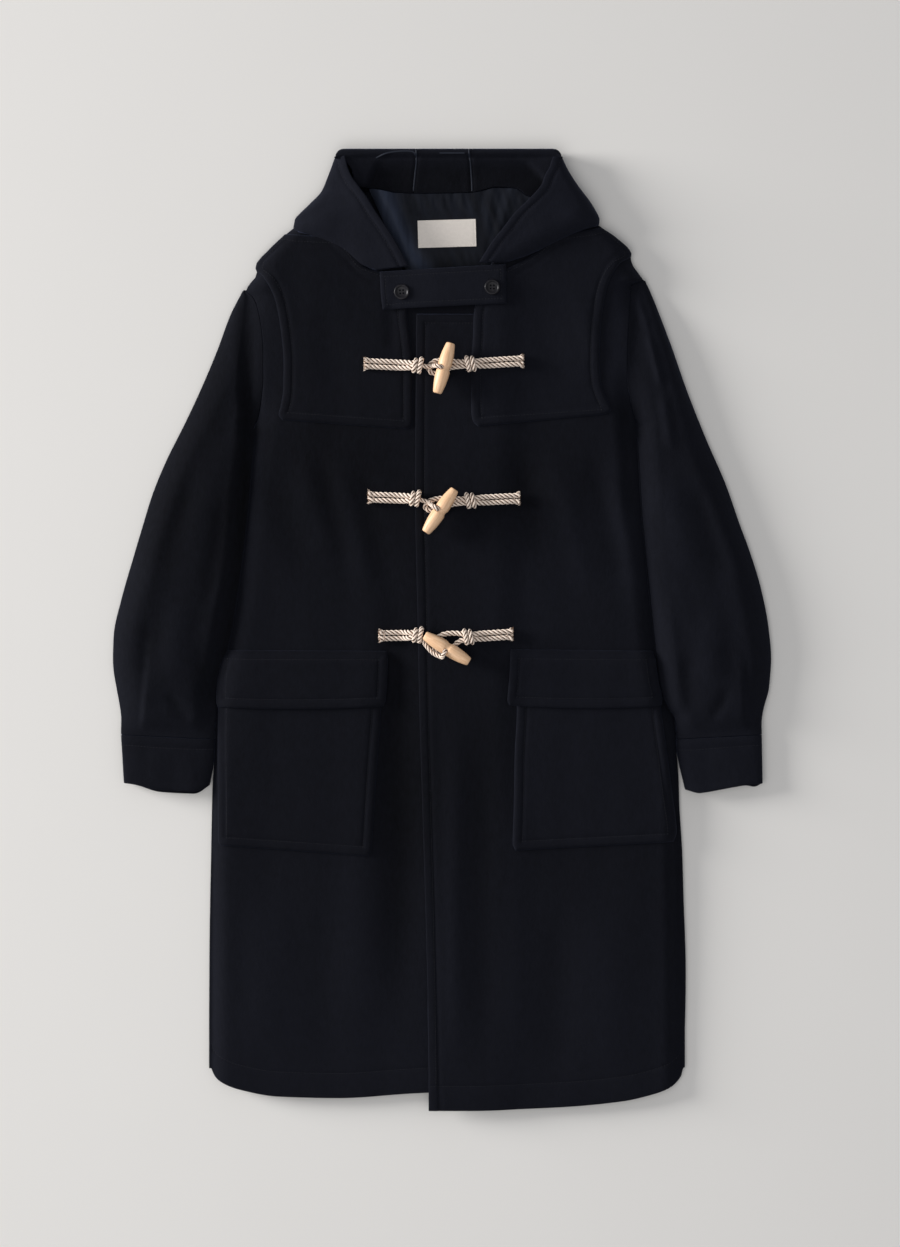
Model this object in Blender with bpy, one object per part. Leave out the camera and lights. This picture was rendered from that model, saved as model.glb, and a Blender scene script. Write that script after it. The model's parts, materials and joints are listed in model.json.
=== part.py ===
"""A hooded duffle coat, laid flat on its back.

Every piece of cloth is a closed wall with its real thickness. The tables below are in millimetres and MM turns
them into Blender's metres. +Y points to the hood, +X to the wearer's left and +Z up from the floor. LEFT and
RIGHT are the wearer's. The left front lies on the right one.
"""

import math
from bisect import bisect_right

import bmesh
import bpy
from mathutils import Matrix, Vector

MM = 0.001
WOOL = 2.6  # thickness of the coat's wool
PATCH_WOOL = 2.4  # of yokes, pockets, flaps and the tab
SEAM_GAP = 0.4  # between pieces that are sewn edge to edge
LAY_GAP = 0.35  # between a piece and the panel that it lies on
EDGE_HEIGHT = 6.2  # top of a side seam, where two walls are lapped
LAP_HEIGHT = 3.9  # how much the left front rises over the right one
REAR_LIFT = 3.3  # how much the hood's rear, which lies under the back, lifts it

NAVY = (0.008, 0.010, 0.016, 1.0)
SATIN = (0.020, 0.026, 0.048, 1.0)
IVORY = (0.72, 0.69, 0.62, 1.0)
ROPE = (0.62, 0.52, 0.42, 1.0)
BIRCH = (0.80, 0.58, 0.36, 1.0)
HORN = (0.012, 0.012, 0.015, 1.0)


# Small tools


def curve(*points):
    """A smooth function through (position, value) pairs, which never overshoots them."""
    at = [float(position) for position, _ in points]
    value = [float(number) for _, number in points]
    slopes = [(value[i + 1] - value[i]) / (at[i + 1] - at[i]) for i in range(len(at) - 1)]
    inner = [
        2 * a * b / (a + b) if a * b > 0 else 0.0 for a, b in zip(slopes, slopes[1:])
    ]
    tangent = [slopes[0], *inner, slopes[-1]]

    def read(position):
        i = min(max(bisect_right(at, position) - 1, 0), len(at) - 2)
        span = at[i + 1] - at[i]
        t = min(max((position - at[i]) / span, 0.0), 1.0)
        return (
            (1 + 2 * t) * (1 - t) ** 2 * value[i]
            + t * (1 - t) ** 2 * span * tangent[i]
            + t * t * (3 - 2 * t) * value[i + 1]
            + t * t * (t - 1) * span * tangent[i + 1]
        )

    return read


def smooth(t):
    t = min(max(t, 0.0), 1.0)
    return t * t * (3 - 2 * t)


def mix(a, b, t):
    return a + (b - a) * t


def rise(distance, reach):
    """0 at an edge and 1 once this far inside it, round like the fold of thick cloth."""
    t = min(max(distance / reach, 0.0), 1.0)
    return 1 - (1 - t) ** 2


def material(name, colour, roughness):
    made = bpy.data.materials.new(name)
    made.use_nodes = True
    shader = made.node_tree.nodes["Principled BSDF"]
    shader.inputs["Base Color"].default_value = colour
    shader.inputs["Roughness"].default_value = roughness
    made.diffuse_color = colour
    return made


def make_object(name, shape, finish):
    """The bmesh, in millimetres, as a named object with its faces turned outwards."""
    bmesh.ops.recalc_face_normals(shape, faces=shape.faces)
    bmesh.ops.scale(shape, vec=(MM, MM, MM), verts=shape.verts)
    mesh = bpy.data.meshes.new(name)
    shape.to_mesh(mesh)
    shape.free()
    mesh.shade_smooth()
    mesh.set_sharp_from_angle(angle=math.radians(50))
    mesh.materials.append(finish)
    made = bpy.data.objects.new(name, mesh)
    bpy.context.scene.collection.objects.link(made)
    return made


def add_grid(shape, rows, closed=False):
    """Faces between rows of points, and the verts they use."""
    verts = [[shape.verts.new(point) for point in row] for row in rows]
    columns = len(rows[0])
    for low, high in zip(verts, verts[1:]):
        for i in range(columns if closed else columns - 1):
            j = (i + 1) % columns
            shape.faces.new((low[i], low[j], high[j], high[i]))
    return verts


def wall(name, top, bottom, finish):
    """A closed sheet between two grids of points, joined by a rim around their borders."""
    shape = bmesh.new()
    upper, lower = add_grid(shape, top), add_grid(shape, bottom)
    borders = []
    for grid in (upper, lower):
        left = [row[0] for row in grid]
        right = [row[-1] for row in grid]
        borders.append(grid[0] + right[1:] + grid[-1][-2::-1] + left[-2:0:-1])
    for i in range(len(borders[0])):
        j = (i + 1) % len(borders[0])
        shape.faces.new((borders[0][i], borders[0][j], borders[1][j], borders[1][i]))
    return make_object(name, shape, finish)


def boolean(target, other, operation, solver="EXACT"):
    """Joins to, or cuts from, the target and removes the other object."""
    modifier = target.modifiers.new(operation.title(), "BOOLEAN")
    modifier.operation = operation
    modifier.solver = solver
    modifier.object = other
    graph = bpy.context.evaluated_depsgraph_get()
    mesh = bpy.data.meshes.new_from_object(target.evaluated_get(graph))
    target.modifiers.clear()
    old = target.data
    target.data = mesh
    bpy.data.meshes.remove(old)
    bpy.data.objects.remove(other, do_unlink=True)


# The cut: each outline is a function of Y, from the hem at -577 to the neck at 527

# Outer edge of the body: shoulder seam, then armhole, then side seam
BODY_EDGE = {
    "right": curve(
        (-540, -280), (-497, -280), (-380, -279.5), (-264, -277.5), (-192, -276), (-152, -274),
        (-91, -272.5), (-42, -271), (4, -268), (35, -265), (95, -259), (162, -253), (208, -250),
        (238, -246), (257, -230), (276, -216), (312, -217), (353, -221), (384, -228), (412, -238),
        (434, -223), (454, -209), (482, -180), (508, -134), (519, -107), (527, -88),
    ),
    "left": curve(
        (-540, 291), (-497, 292), (-410, 293), (-322, 290.4), (-264, 288.6), (-216, 285.6),
        (-180, 284.4), (-152, 282), (-91, 275), (-36, 270), (26, 266.5), (84, 265), (139, 262),
        (208, 258), (246, 252), (270, 235), (294, 222), (330, 222), (360, 226), (396, 233),
        (425, 241), (450, 228), (464, 216), (487, 188), (509, 154), (519, 128), (527, 108),
    ),
}
# Front edge of each front below its neckline, then the neckline
FRONT_EDGE = {
    "right": curve((-577, 60), (372, 60), (396, 45), (412, -38), (442, -52), (480, -72), (519, -88)),
    "left": curve(
        (-577, -14), (-516, -15.6), (-324, -20.4), (-84, -27.6), (36, -30), (156, -32.4),
        (376.8, -31), (379, 38), (412, 44), (440, 60), (480, 86), (505, 102), (519, 112),
    ),
}
HEM = {
    "right": curve(
        (-277, -533), (-271, -540), (-242, -552), (-198, -560), (-126, -562), (-30, -556), (60, -552)
    ),
    "left": curve(
        (-14, -577), (36, -577), (100, -575), (158, -572), (216, -566), (269, -554), (284, -545),
        (290, -532),
    ),
}
BACK_HEM = curve(
    (-277, -531), (-271, -537), (-242, -548), (-198, -555), (-126, -557), (0, -553), (126, -556),
    (216, -556), (269, -548), (284, -540), (290, -529),
)
# Outer and inner edge of each sleeve
SLEEVE_OUT = {
    "right": curve(
        (-126, -386), (-108, -387), (-74, -391), (-50, -395), (-36, -396), (-6, -395), (36, -386),
        (85, -372), (122, -361), (164, -348), (205, -331), (247, -310), (292, -289), (340, -269),
        (378, -255), (396, -246), (412, -240),
    ),
    "left": curve(
        (-126, 384), (-100, 388), (-65, 394), (-34, 396), (2, 393), (49, 384), (101, 368),
        (122, 360), (176, 341), (229, 318), (287, 295), (341, 276), (386, 259), (408, 250), (425, 243),
    ),
}
SLEEVE_IN = {
    "right": curve(
        (-126, -275), (-91, -274), (-66, -272), (-42, -270.5), (4, -260.5), (35, -254), (95, -242),
        (162, -232), (208, -227), (246, -224), (262, -224.5), (276, -218),
    ),
    "left": curve(
        (-126, 285), (-105, 278), (-91, 267), (-36, 258), (26, 251), (84, 245), (139, 240),
        (208, 236), (246, 232), (262, 230), (276, 232.5),
    ),
}
ROWS = (
    519, 505, 482, 458, 438, 425, 412, 396, 379, 376.8, 355, 333, 312, 290, 276, 262, 246, 225,
    200, 165, 130, 95, 50, 4, -36, -66, -91, -125, -152, -205, -270, -345, -430, -500,
)
ARMPIT = 276  # below this the sleeve lies on the body's side
CUFF_SEAM = -125

# Heights

LOFT = curve(
    (-577, 12), (-540, 14), (-400, 17), (-100, 19), (150, 21), (300, 23), (420, 23), (465, 20), (519, 13)
)
EDGE_TOP = curve(  # top of the body's outer edge: highest where the sleeve head holds it up
    (-577, 6.2), (238, 6.2), (257, 8), (276, 10), (312, 14), (353, 16.5), (384, 15.5), (412, 11),
    (430, 7.5), (454, 6.2), (527, 6.2),
)
EDGE_REACH = curve((-577, 18), (-160, 20), (-60, 40), (200, 60), (280, 50), (400, 36), (519, 26))
SLEEVE_LOFT = curve((-126, 21), (-60, 26), (60, 28), (220, 28), (330, 25), (400, 21), (425, 15))

# Soft folds: a ridge, or a trough if its height is negative, from one point to another
FOLDS = {
    "front_right": (
        # from_x, from_y, to_x, to_y, width, height
        (-172, 215, -88, 20, 15, 2.4),
        (-144, 228, -60, 40, 13, -1.8),
        (-212, 200, -150, 40, 16, 1.6),
        (-52, 60, -44, -430, 22, -3.4),
        (-92, 20, -98, -470, 26, 1.6),
        (-205, -300, -215, -520, 24, 1.4),
        (-150, -330, -140, -520, 22, -1.4),
    ),
    "front_left": (
        (150, 215, 100, 60, 20, 1.8),
        (205, 215, 190, 30, 16, -1.6),
        (75, 200, 60, -420, 26, 1.4),
        (190, -300, 200, -520, 26, 1.6),
        (120, -320, 118, -530, 22, -1.2),
    ),
    "sleeve_right": (
        (-232, 372, -262, 255, 9, 2.2),
        (-288, 170, -330, 60, 18, -2.4),
        (-262, 200, -290, 40, 14, 1.8),
        (-352, 6, -360, -104, 7, -3.6),
        (-340, 0, -347, -104, 7, 2.0),
        (-330, -76, -304, -108, 7, -2.6),
        (-300, -40, -290, -104, 10, 1.8),
    ),
    "sleeve_left": (
        (236, 392, 262, 285, 9, 2.4),
        (290, 180, 335, 60, 18, -2.4),
        (262, 200, 285, 40, 14, 1.8),
        (355, 2, 366, -104, 7, -3.6),
        (342, -6, 352, -104, 7, 2.0),
        (318, -50, 322, -104, 9, -2.2),
        (290, -40, 300, -104, 10, 1.8),
    ),
}


def fold_height(piece, x, y):
    total = 0.0
    for from_x, from_y, to_x, to_y, width, height in FOLDS[piece]:
        run = Vector((to_x - from_x, to_y - from_y))
        along = Vector((x - from_x, y - from_y)).dot(run) / run.length_squared
        t = min(max(along, 0.0), 1.0)
        away = math.hypot(x - mix(from_x, to_x, t), y - mix(from_y, to_y, t))
        total += height * math.exp(-((away / width) ** 2)) * smooth(3 * t) * smooth(3 * (1 - t) + 0.3)
    return total


def outward(side):
    return -1 if side == "right" else 1


def rear_lift(x, y):
    """The hood's rear lies under the back here."""
    return REAR_LIFT * smooth((190 - abs(x - 7)) / 30) * smooth((y - 300) / 30)


def lap_lift(x):
    """How far the left front rides up where the right one is under it."""
    return LAP_HEIGHT * (smooth((x + 80) / 30) - smooth((x - 62) / 40))


def front_height(side, x, y):
    """Top of a front."""
    inside = outward(side) * (BODY_EDGE[side](y) - x)
    edge = EDGE_TOP(y) + rear_lift(x, y)
    height = mix(edge, LOFT(y), rise(inside, EDGE_REACH(y))) + fold_height(f"front_{side}", x, y)
    return height + (lap_lift(x) if side == "left" else 0.0)


def sleeve_overlap(y):
    """0 where the sleeve is sewn to the armhole and 1 where it lies on the body's side."""
    return smooth((ARMPIT + 22 - y) / 22)


def under_sleeve_height(side, x, y):
    """Underside of the under sleeve: on the floor, and up over the body's side where it overlaps."""
    inside = outward(side) * (BODY_EDGE[side](y) - x)
    if inside >= 0:
        return (front_height(side, x, y) + 1.1) * sleeve_overlap(y)
    return (EDGE_TOP(y) + 1.1) * smooth(1 + (inside + 1.5) / 11) * sleeve_overlap(y)


def sleeve_height(side, x, y):
    """Top of the upper sleeve."""
    outer, inner = SLEEVE_OUT[side](y), sleeve_inner(side, y)
    width = abs(outer - inner)
    from_out, from_in = abs(x - outer), abs(x - inner)
    lapped = under_sleeve_height(side, inner, y) + WOOL + SEAM_GAP + 3.2
    inner_edge = mix(EDGE_TOP(y), lapped, sleeve_overlap(y))
    edge = mix(EDGE_HEIGHT, inner_edge, min(from_out / max(width, 1), 1))
    crest = max(SLEEVE_LOFT(y), edge)
    inner_reach = mix(40, 24, sleeve_overlap(y))
    full = rise(from_out, min(34, 0.5 * width)) * rise(from_in, min(inner_reach, 0.5 * width))
    return mix(edge, crest, full) + fold_height(f"sleeve_{side}", x, y) * full


def sleeve_inner(side, y):
    """The sleeve's inner edge: just off the armhole's edge above the armpit."""
    if y >= ARMPIT:
        return BODY_EDGE[side](y) + outward(side) * mix(SEAM_GAP, 1.6, sleeve_overlap(y))
    return SLEEVE_IN[side](y)


def lean(height, x, y, step=2.0):
    """The unit normal of a surface that is given by its height."""
    slope_x = (height(x + step, y) - height(x - step, y)) / (2 * step)
    slope_y = (height(x, y + step) - height(x, y - step)) / (2 * step)
    return Vector((-slope_x, -slope_y, 1)).normalized()


# Pieces of cloth

ACROSS_FRONT = (0, 0.015, 0.04, 0.08, 0.14, 0.22, 0.32, 0.43, 0.54, 0.65, 0.76, 0.86, 0.94, 1)


def make_front(side, finish):
    height = lambda x, y: front_height(side, x, y)
    top, bottom = [], []
    for y in (*ROWS, None):
        row, under = [], []
        for u in ACROSS_FRONT:
            at = -534 if y is None else y
            x = front_grid_x(side, at, u)
            at = HEM[side](x) if y is None else y
            z = height(x, at)
            thick = lean(height, x, at).z  # less thick on a slope, as measured along it
            row.append((x, at, z))
            under.append((x, at, z - WOOL / max(thick, 0.75)))
        top.append(row)
        bottom.append(under)
    return wall(f"front_{side}", top, bottom, finish)


def front_grid_x(side, y, u):
    return mix(BODY_EDGE[side](y), FRONT_EDGE[side](y), u)


def on_front(side, x, y):
    """Height of a front's own flat faces, which a patch follows from grid line to grid line."""
    i = min(max(sum(1 for row in ROWS if row > y) - 1, 0), len(ROWS) - 2)
    t = (ROWS[i] - y) / (ROWS[i] - ROWS[i + 1])
    line = []
    for u in ACROSS_FRONT:
        ends = [(front_grid_x(side, row, u), row) for row in (ROWS[i], ROWS[i + 1])]
        heights = [front_height(side, *end) for end in ends]
        line.append((outward(side) * mix(ends[0][0], ends[1][0], t), mix(*heights, t)))
    line.sort()
    place = outward(side) * x
    j = min(max(bisect_right([at for at, _ in line], place) - 1, 0), len(line) - 2)
    share = (place - line[j][0]) / (line[j + 1][0] - line[j][0])
    return mix(line[j][1], line[j + 1][1], share)


def make_back(finish):
    across = (0, 0.08, 0.2, 0.32, 0.5, 0.68, 0.8, 0.92, 1)
    top, bottom = [], []
    for y in (527, *ROWS[:16], *ROWS[16:-1:2], ROWS[-1], None):
        at = -532 if y is None else y
        row, under = [], []
        for u in across:
            x = mix(BODY_EDGE["right"](at), BODY_EDGE["left"](at), u)
            here = BACK_HEM(x) if y is None else y
            row.append((x, here, rear_lift(x, here) + WOOL))
            under.append((x, here, rear_lift(x, here)))
        top.append(row)
        bottom.append(under)
    return wall("back", top, bottom, finish)


def sleeve_rows(side):
    start = 412 if side == "right" else 425
    return [y for y in ROWS if CUFF_SEAM <= y <= start]


def make_upper_sleeve(side, finish):
    across = (0, 0.03, 0.1, 0.22, 0.38, 0.55, 0.72, 0.87, 0.96, 1)
    height = lambda x, y: sleeve_height(side, x, y)
    top, bottom = [], []
    for y in sleeve_rows(side):
        outer, inner = SLEEVE_OUT[side](y), sleeve_inner(side, y)
        points = [(mix(outer, inner, u), y) for u in across]
        top.append([(x, y, height(x, y)) for x, y in points])
        bottom.append([(x, y, height(x, y) - WOOL / max(lean(height, x, y).z, 0.8)) for x, y in points])
    return wall(f"sleeve_{side}_upper", top, bottom, finish)


def make_under_sleeve(side, finish):
    top, bottom = [], []
    for y in sleeve_rows(side):
        outer, inner = SLEEVE_OUT[side](y), sleeve_inner(side, y)
        edge = BODY_EDGE[side](y)
        out = outward(side)
        if (inner - edge) * out > 0:  # it ends short of the body
            stops = [mix(outer, inner, u) for u in (0, 0.25, 0.55, 0.8, 0.9, 0.97, 1)]
        else:
            foot = edge + out * 12.5
            stops = [mix(outer, foot, u) for u in (0, 0.35, 0.7, 1)]
            stops += [edge + out * 4, edge + out * 0.8, inner]
        under = [(x, y, under_sleeve_height(side, x, y)) for x in stops]
        bottom.append(under)
        top.append([(x, y, z + WOOL) for x, y, z in under])
    return wall(f"sleeve_{side}_under", top, bottom, finish)


CUFFS = {
    # y of the top seam and the bottom edge at the outer and at the inner end, and the four corners' x
    "right": dict(top=(-125.6, -131), foot=(-184, -190), outer=(-385.5, -382), inner=(-275.5, -279)),
    "left": dict(top=(-125.6, -130), foot=(-186, -194), outer=(384, 385.5), inner=(285, 291)),
}
CUFF_SAG = curve((0, 0), (0.15, 0), (0.4, 5), (0.75, 6), (1, 0))  # of the foot, across the cuff


def make_cuff(side, finish):
    """A band all round: a flattened ring, with its seam at the outer edge."""
    size = CUFFS[side]
    count, tall = 22, 17.0
    outside, inside = [], []
    for t in (0, 0.12, 0.5, 0.9, 1):
        ends = [mix(size["outer"][0], size["outer"][1], t), mix(size["inner"][0], size["inner"][1], t)]
        middle, half = sum(ends) / 2, abs(ends[0] - ends[1]) / 2
        rows = {0: [], WOOL: []}
        for i in range(count):
            angle = 2 * math.pi * (i + 0.5) / count
            across = math.copysign(abs(math.cos(angle)) ** 0.55, math.cos(angle))
            up = math.copysign(abs(math.sin(angle)) ** 0.6, math.sin(angle))
            share = (1 - outward(side) * across) / 2
            y = mix(mix(*size["top"], share), mix(*size["foot"], share) - CUFF_SAG(share), t)
            for thick, row in rows.items():
                row.append((
                    middle + (half - thick) * across,
                    y,
                    tall / 2 + (tall / 2 - thick) * up,
                ))
        outside.append(rows[0])
        inside.append(rows[WOOL])
    shape = bmesh.new()
    outer, inner = add_grid(shape, outside, closed=True), add_grid(shape, inside, closed=True)
    for end in (0, -1):
        for i in range(count):
            j = (i + 1) % count
            shape.faces.new((outer[end][i], outer[end][j], inner[end][j], inner[end][i]))
    return make_object(f"cuff_{side}", shape, finish)


# Patches: outer and inner border point of each row, as they lie on a front

# The yokes' upper rows cross the round shoulder, where a flat face would cut into it
YOKE_STAND = curve((240, LAY_GAP), (362, LAY_GAP), (378, 1.1), (410, 1.4), (440, 2.2), (482, 2.4))

YOKES = {
    "right": (
        ((-204, 458), (-128, 457)), ((-221, 434), (-97, 433)),
        ((-206, 416), (-60, 424)), ((-193, 398), (-43, 405)), ((-187, 378), (-41, 378)),
        ((-183, 352), (-38, 350)), ((-183, 315), (-35, 312)), ((-186, 285), (-35, 280)),
        ((-190, 262), (-35, 252)), ((-193, 255), (-36, 244)), ((-189, 251), (-42, 240.5)),
    ),
    "left": (
        ((212, 462), (140, 460)), ((226, 449), (112, 446)),
        ((212, 441), (82, 434)), ((197, 420), (50, 420)), ((190, 403), (45, 405)),
        ((184, 380), (38, 378)), ((180, 356), (37, 350)), ((181, 320), (35, 315)),
        ((184, 294), (35, 288)), ((195, 275), (35, 258)), ((200, 263), (37, 249)),
        ((192, 258.5), (43, 243.6)),
    ),
}
POCKETS = {
    "right": (
        ((-265, -37), (-72, -37)), ((-268, -95), (-73, -95)), ((-268.5, -150), (-77, -150)),
        ((-268, -205), (-81, -210)), ((-268, -252), (-84.5, -262)), ((-265, -258), (-88, -271)),
    ),
    "left": (
        ((254, -37), (89.6, -37)), ((262, -95), (89.6, -95)), ((269, -145), (87, -150)),
        ((276, -200), (86, -210)), ((281, -243), (84.6, -256)), ((277, -254), (88, -264)),
    ),
}
# A flap's rows also say how far it stands off the front: sewn down at its top, over the pocket below
FLAPS = {
    "right": (
        ((-264, -24), (-66, -25), LAY_GAP), ((-264.5, -34), (-65.5, -35), 3.6),
        ((-266, -62), (-66.5, -62), 3.9), ((-267.5, -86), (-68.5, -85), 3.9),
        ((-266, -92), (-71, -91), 3.9),
    ),
    "left": (
        ((252, -25), (82, -23), LAY_GAP), ((253, -35), (81, -33), 3.6),
        ((256.5, -62), (79.5, -60), 3.9), ((261, -84), (77.5, -84), 3.9), ((260, -91), (80, -90), 3.9),
    ),
}
TAB = (((-74.4, 428), (75.6, 436.4)), ((-73.5, 410), (76, 418)), ((-72.5, 394), (76.2, 402)),
       ((-71.5, 383), (76.4, 390)))
TAB_STAND = 4.9  # it crosses the yokes


def border(points):
    """A border's place across, read at any place along it."""
    points = sorted(points)

    def read(position):
        j = min(max(bisect_right([at for at, _ in points], position) - 1, 0), len(points) - 2)
        share = (position - points[j][0]) / (points[j + 1][0] - points[j][0])
        return mix(points[j][1], points[j + 1][1], min(max(share, 0), 1))

    return read


def sheet_on_surface(name, surface, rows, finish):
    """A patch from rows of (x, y, stand): the surface's own points, moved out along its normal."""
    top, bottom = [], []
    for row in rows:
        lifted = []
        for x, y, stand in row:
            base, normal = Vector((x, y, surface(x, y))), lean(surface, x, y)
            lifted.append((base + normal * stand, base + normal * (stand + PATCH_WOOL)))
        bottom.append([low for low, _ in lifted])
        top.append([high for _, high in lifted])
    return wall(name, top, bottom, finish)


def make_patch(name, side, rows, finish, sag=0.0, stand=None):
    """A patch on a front. It keeps the front's grid lines, so that its faces lie on the front's faces."""
    first_x = border([(first[1], first[0]) for first, *_ in rows])
    last_x = border([(last[1], last[0]) for _, last, *_ in rows])
    if stand is None:
        stand = border([(first[1], own[0] if own else LAY_GAP) for first, _, *own in rows])
    own_rows = [(first[1], last[1]) for first, last, *_ in rows]
    kept = [(y, y) for y in ROWS if max(own_rows[-1]) + 5 < y < min(own_rows[0]) - 5]
    extra = [
        pair for pair in own_rows[1:-1] if all(abs(sum(pair) / 2 - y) > 6 for y, _ in kept)
    ]
    lines = [own_rows[0], *sorted(kept + extra, reverse=True), own_rows[-1]]
    spread = []  # the front's grid lines where they cross each row
    for first_y, last_y in lines:
        start, end = first_x(first_y), last_x(last_y)
        row = []
        for line in ACROSS_FRONT[1:-1]:
            u = 0.5
            for _ in range(4):  # a slanting row meets a slanting line
                x = front_grid_x(side, mix(first_y, last_y, u), line)
                u = min(max((x - start) / (end - start), 0), 1)
            row.append(u)
        spread.append(row)
    used = [i for i in range(len(spread[0])) if any(0.03 < row[i] < 0.97 for row in spread)]
    made = []
    for place, (first_y, last_y) in enumerate(lines):
        start, end = first_x(first_y), last_x(last_y)
        least = 1.2 / abs(end - start)
        shares = [0, *(spread[place][i] for i in used), 1]
        last = len(shares) - 1
        row = []
        for index, u in enumerate(shares):
            u = min(max(u, least * index), 1 - least * (last - index))
            y = mix(first_y, last_y, u)
            if place == len(lines) - 1:
                y -= sag * 4 * u * (1 - u)
            row.append((mix(start, end, u), y, stand(y)))
        made.append(row)
    return sheet_on_surface(name, lambda x, y: on_front(side, x, y), made, finish)


def make_tab(finish):
    rows = []
    for first, last in TAB:
        shares = (0, 0.03, 0.16, 0.33, 0.5, 0.67, 0.84, 0.97, 1)
        rows.append([(mix(first[0], last[0], u), mix(first[1], last[1], u), TAB_STAND) for u in shares])
    return sheet_on_surface("throat_tab", tab_height, rows, finish)


# Hood: three panels. At each station the folded side runs from its roll to the opening's edge.

HOOD_SIDES = {
    "right": (
        # roll_x, roll_y, edge_x, edge_y, height of the fold, height of the opening's edge
        (-78, 430.5, -40, 434.5, 9, 8),
        (-96, 437, -50.4, 456, 13, 13),
        (-122.4, 457, -61, 477.6, 17, 17),
        (-154.8, 471.6, -75.6, 499, 20, 20),
        (-180, 482.4, -90, 519.6, 22, 22),
        (-179, 491.4, -100.8, 530.4, 24, 24),
        (-160, 512.4, -110.4, 541.2, 28, 27),
        (-142.8, 532, -113.4, 552, 30, 29),
        (-130.8, 560.4, -116.4, 564, 24, 24),
    ),
    "left": (
        (79, 440, 44, 438.5, 9, 8),
        (109, 451, 58.8, 462, 13, 13),
        (137, 464.4, 73, 480, 17, 17),
        (165.6, 477.6, 87.6, 499, 20, 20),
        (188.4, 486.6, 101, 512, 22, 22),
        (189, 493, 111.6, 523, 24, 24),
        (180, 510.6, 118.8, 532.8, 28, 27),
        (163, 533, 123, 545, 30, 29),
        (143, 566, 126, 562, 24, 24),
    ),
}
ROLL_REACH = 10.0
HOOD_FLOOR = 3.6  # of the folded sides beyond the shoulders
HOOD_GAP = 3.0  # over the fronts' smooth surface
HOOD_EDGE_GAP = 5.0  # and by the shoulder seam, where that surface is rounder than its flat faces


def hood_rest(side, x, y):
    """What a folded side of the hood lies on."""
    edge = BODY_EDGE[side](min(y, 519))
    beyond = max(outward(side) * (x - edge), y - 519, 0)
    on_body = front_height(side, x, min(y, 519)) if beyond == 0 else EDGE_TOP(y) + REAR_LIFT
    settle = smooth(beyond / 26)
    inside = outward(side) * (edge - x)
    gap = mix(HOOD_EDGE_GAP, HOOD_GAP, smooth(inside / 45))
    return mix(on_body + gap, HOOD_FLOOR, settle)


def make_hood_side(side, finish):
    shares = (0, 0.012, 0.06, 0.16, 0.3, 0.52, 0.76, 0.94)
    outside, inside = [], []
    for roll_x, roll_y, edge_x, edge_y, tall, edge_tall in HOOD_SIDES[side]:
        length = math.hypot(edge_x - roll_x, edge_y - roll_y)
        low_row, high_row, low_in, high_in = [], [], [], []
        for share in (*shares, 1):
            x, y = mix(roll_x, edge_x, share), mix(roll_y, edge_y, share)
            low = hood_rest(side, x, y)
            thick = mix(tall, edge_tall, share)
            round_off = math.sqrt(max(1 - (1 - min(share * length / ROLL_REACH, 1)) ** 2, 0))
            high_row.append((x, y, low + thick / 2 + thick / 2 * round_off))
            low_row.append((x, y, low + thick / 2 - thick / 2 * round_off))
            start = WOOL / length
            moved = mix(start, 1, share)
            x, y = mix(roll_x, edge_x, moved), mix(roll_y, edge_y, moved)
            low = hood_rest(side, x, y)
            half = thick / 2 - WOOL
            round_in = math.sqrt(max(1 - (1 - min(share * length / (ROLL_REACH - WOOL), 1)) ** 2, 0))
            high_in.append((x, y, low + thick / 2 + half * round_in))
            low_in.append((x, y, low + thick / 2 - half * round_in))
        outside.append(low_row[:0:-1] + high_row)
        inside.append(low_in[:0:-1] + high_in)
    return wall(f"hood_{side}", outside, inside, finish)


HOOD_BACK = (
    # along Y and Z: from the neck seam up the inside band, over the top edge and down behind
    (527.6, 6.2), (530.5, 12.5), (537, 19.5), (547, 24.5), (558, 27.5), (568, 28), (574, 24), (576.5, 16),
    (575.5, 8), (571, 2.2), (563, 0), (520, 0), (450, 0), (352, 0),
)
HOOD_BACK_INNER = (
    (528.2, 3.2), (533.6, 10), (540, 16.6), (548.5, 21.8), (558.5, 24.8), (566.5, 25.2), (571.5, 22.4),
    (573.8, 16), (573, 9), (569.5, 4.6), (562.5, WOOL), (520, WOOL), (450, WOOL), (352, WOOL),
)
HOOD_PANELS = {
    # x of the stations, at the top edge; the rear narrows to REAR_SHARE of them
    "right": (-129, -112, -90, -60, -31.3),
    "centre": (-30.9, 0, 34.6),
    "left": (35, 60, 90, 118, 141),
}
REAR_SHARE = 0.88


def make_hood_back(part, name, finish):
    outside, inside = [], []
    for x in HOOD_PANELS[part]:
        for rows, path in ((outside, HOOD_BACK), (inside, HOOD_BACK_INNER)):
            row = []
            for index, (y, z) in enumerate(path):
                behind = smooth((568 - HOOD_BACK[index][0]) / 200) if index > 8 else 0
                row.append((mix(x, 7 + (x - 7) * REAR_SHARE, behind), y, z))
            rows.append(row)
    return wall(name, outside, inside, finish)


# Lining and label

LINING_FOLDS = (
    # x at the top, x at the bottom, width, height
    (-72, -34, 9, 6.5), (-56, -22, 5, -2.0), (-38, -14, 6, 2.6), (-18, -4, 5, 1.6), (20, 18, 6, 1.8),
    (52, 34, 5, 2.4), (66, 42, 5, 1.8), (82, 50, 6, 3.6), (96, 58, 5, 2.0),
)
LINING = 1.0
LINING_TOP, LINING_FOOT = 526, 424
LINING_BASE, LABEL_BASE = 8.2, 8.8
LABEL = dict(centre=(6, 476), width=70, height=33, thick=0.9, turn=math.radians(1.6))


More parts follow.
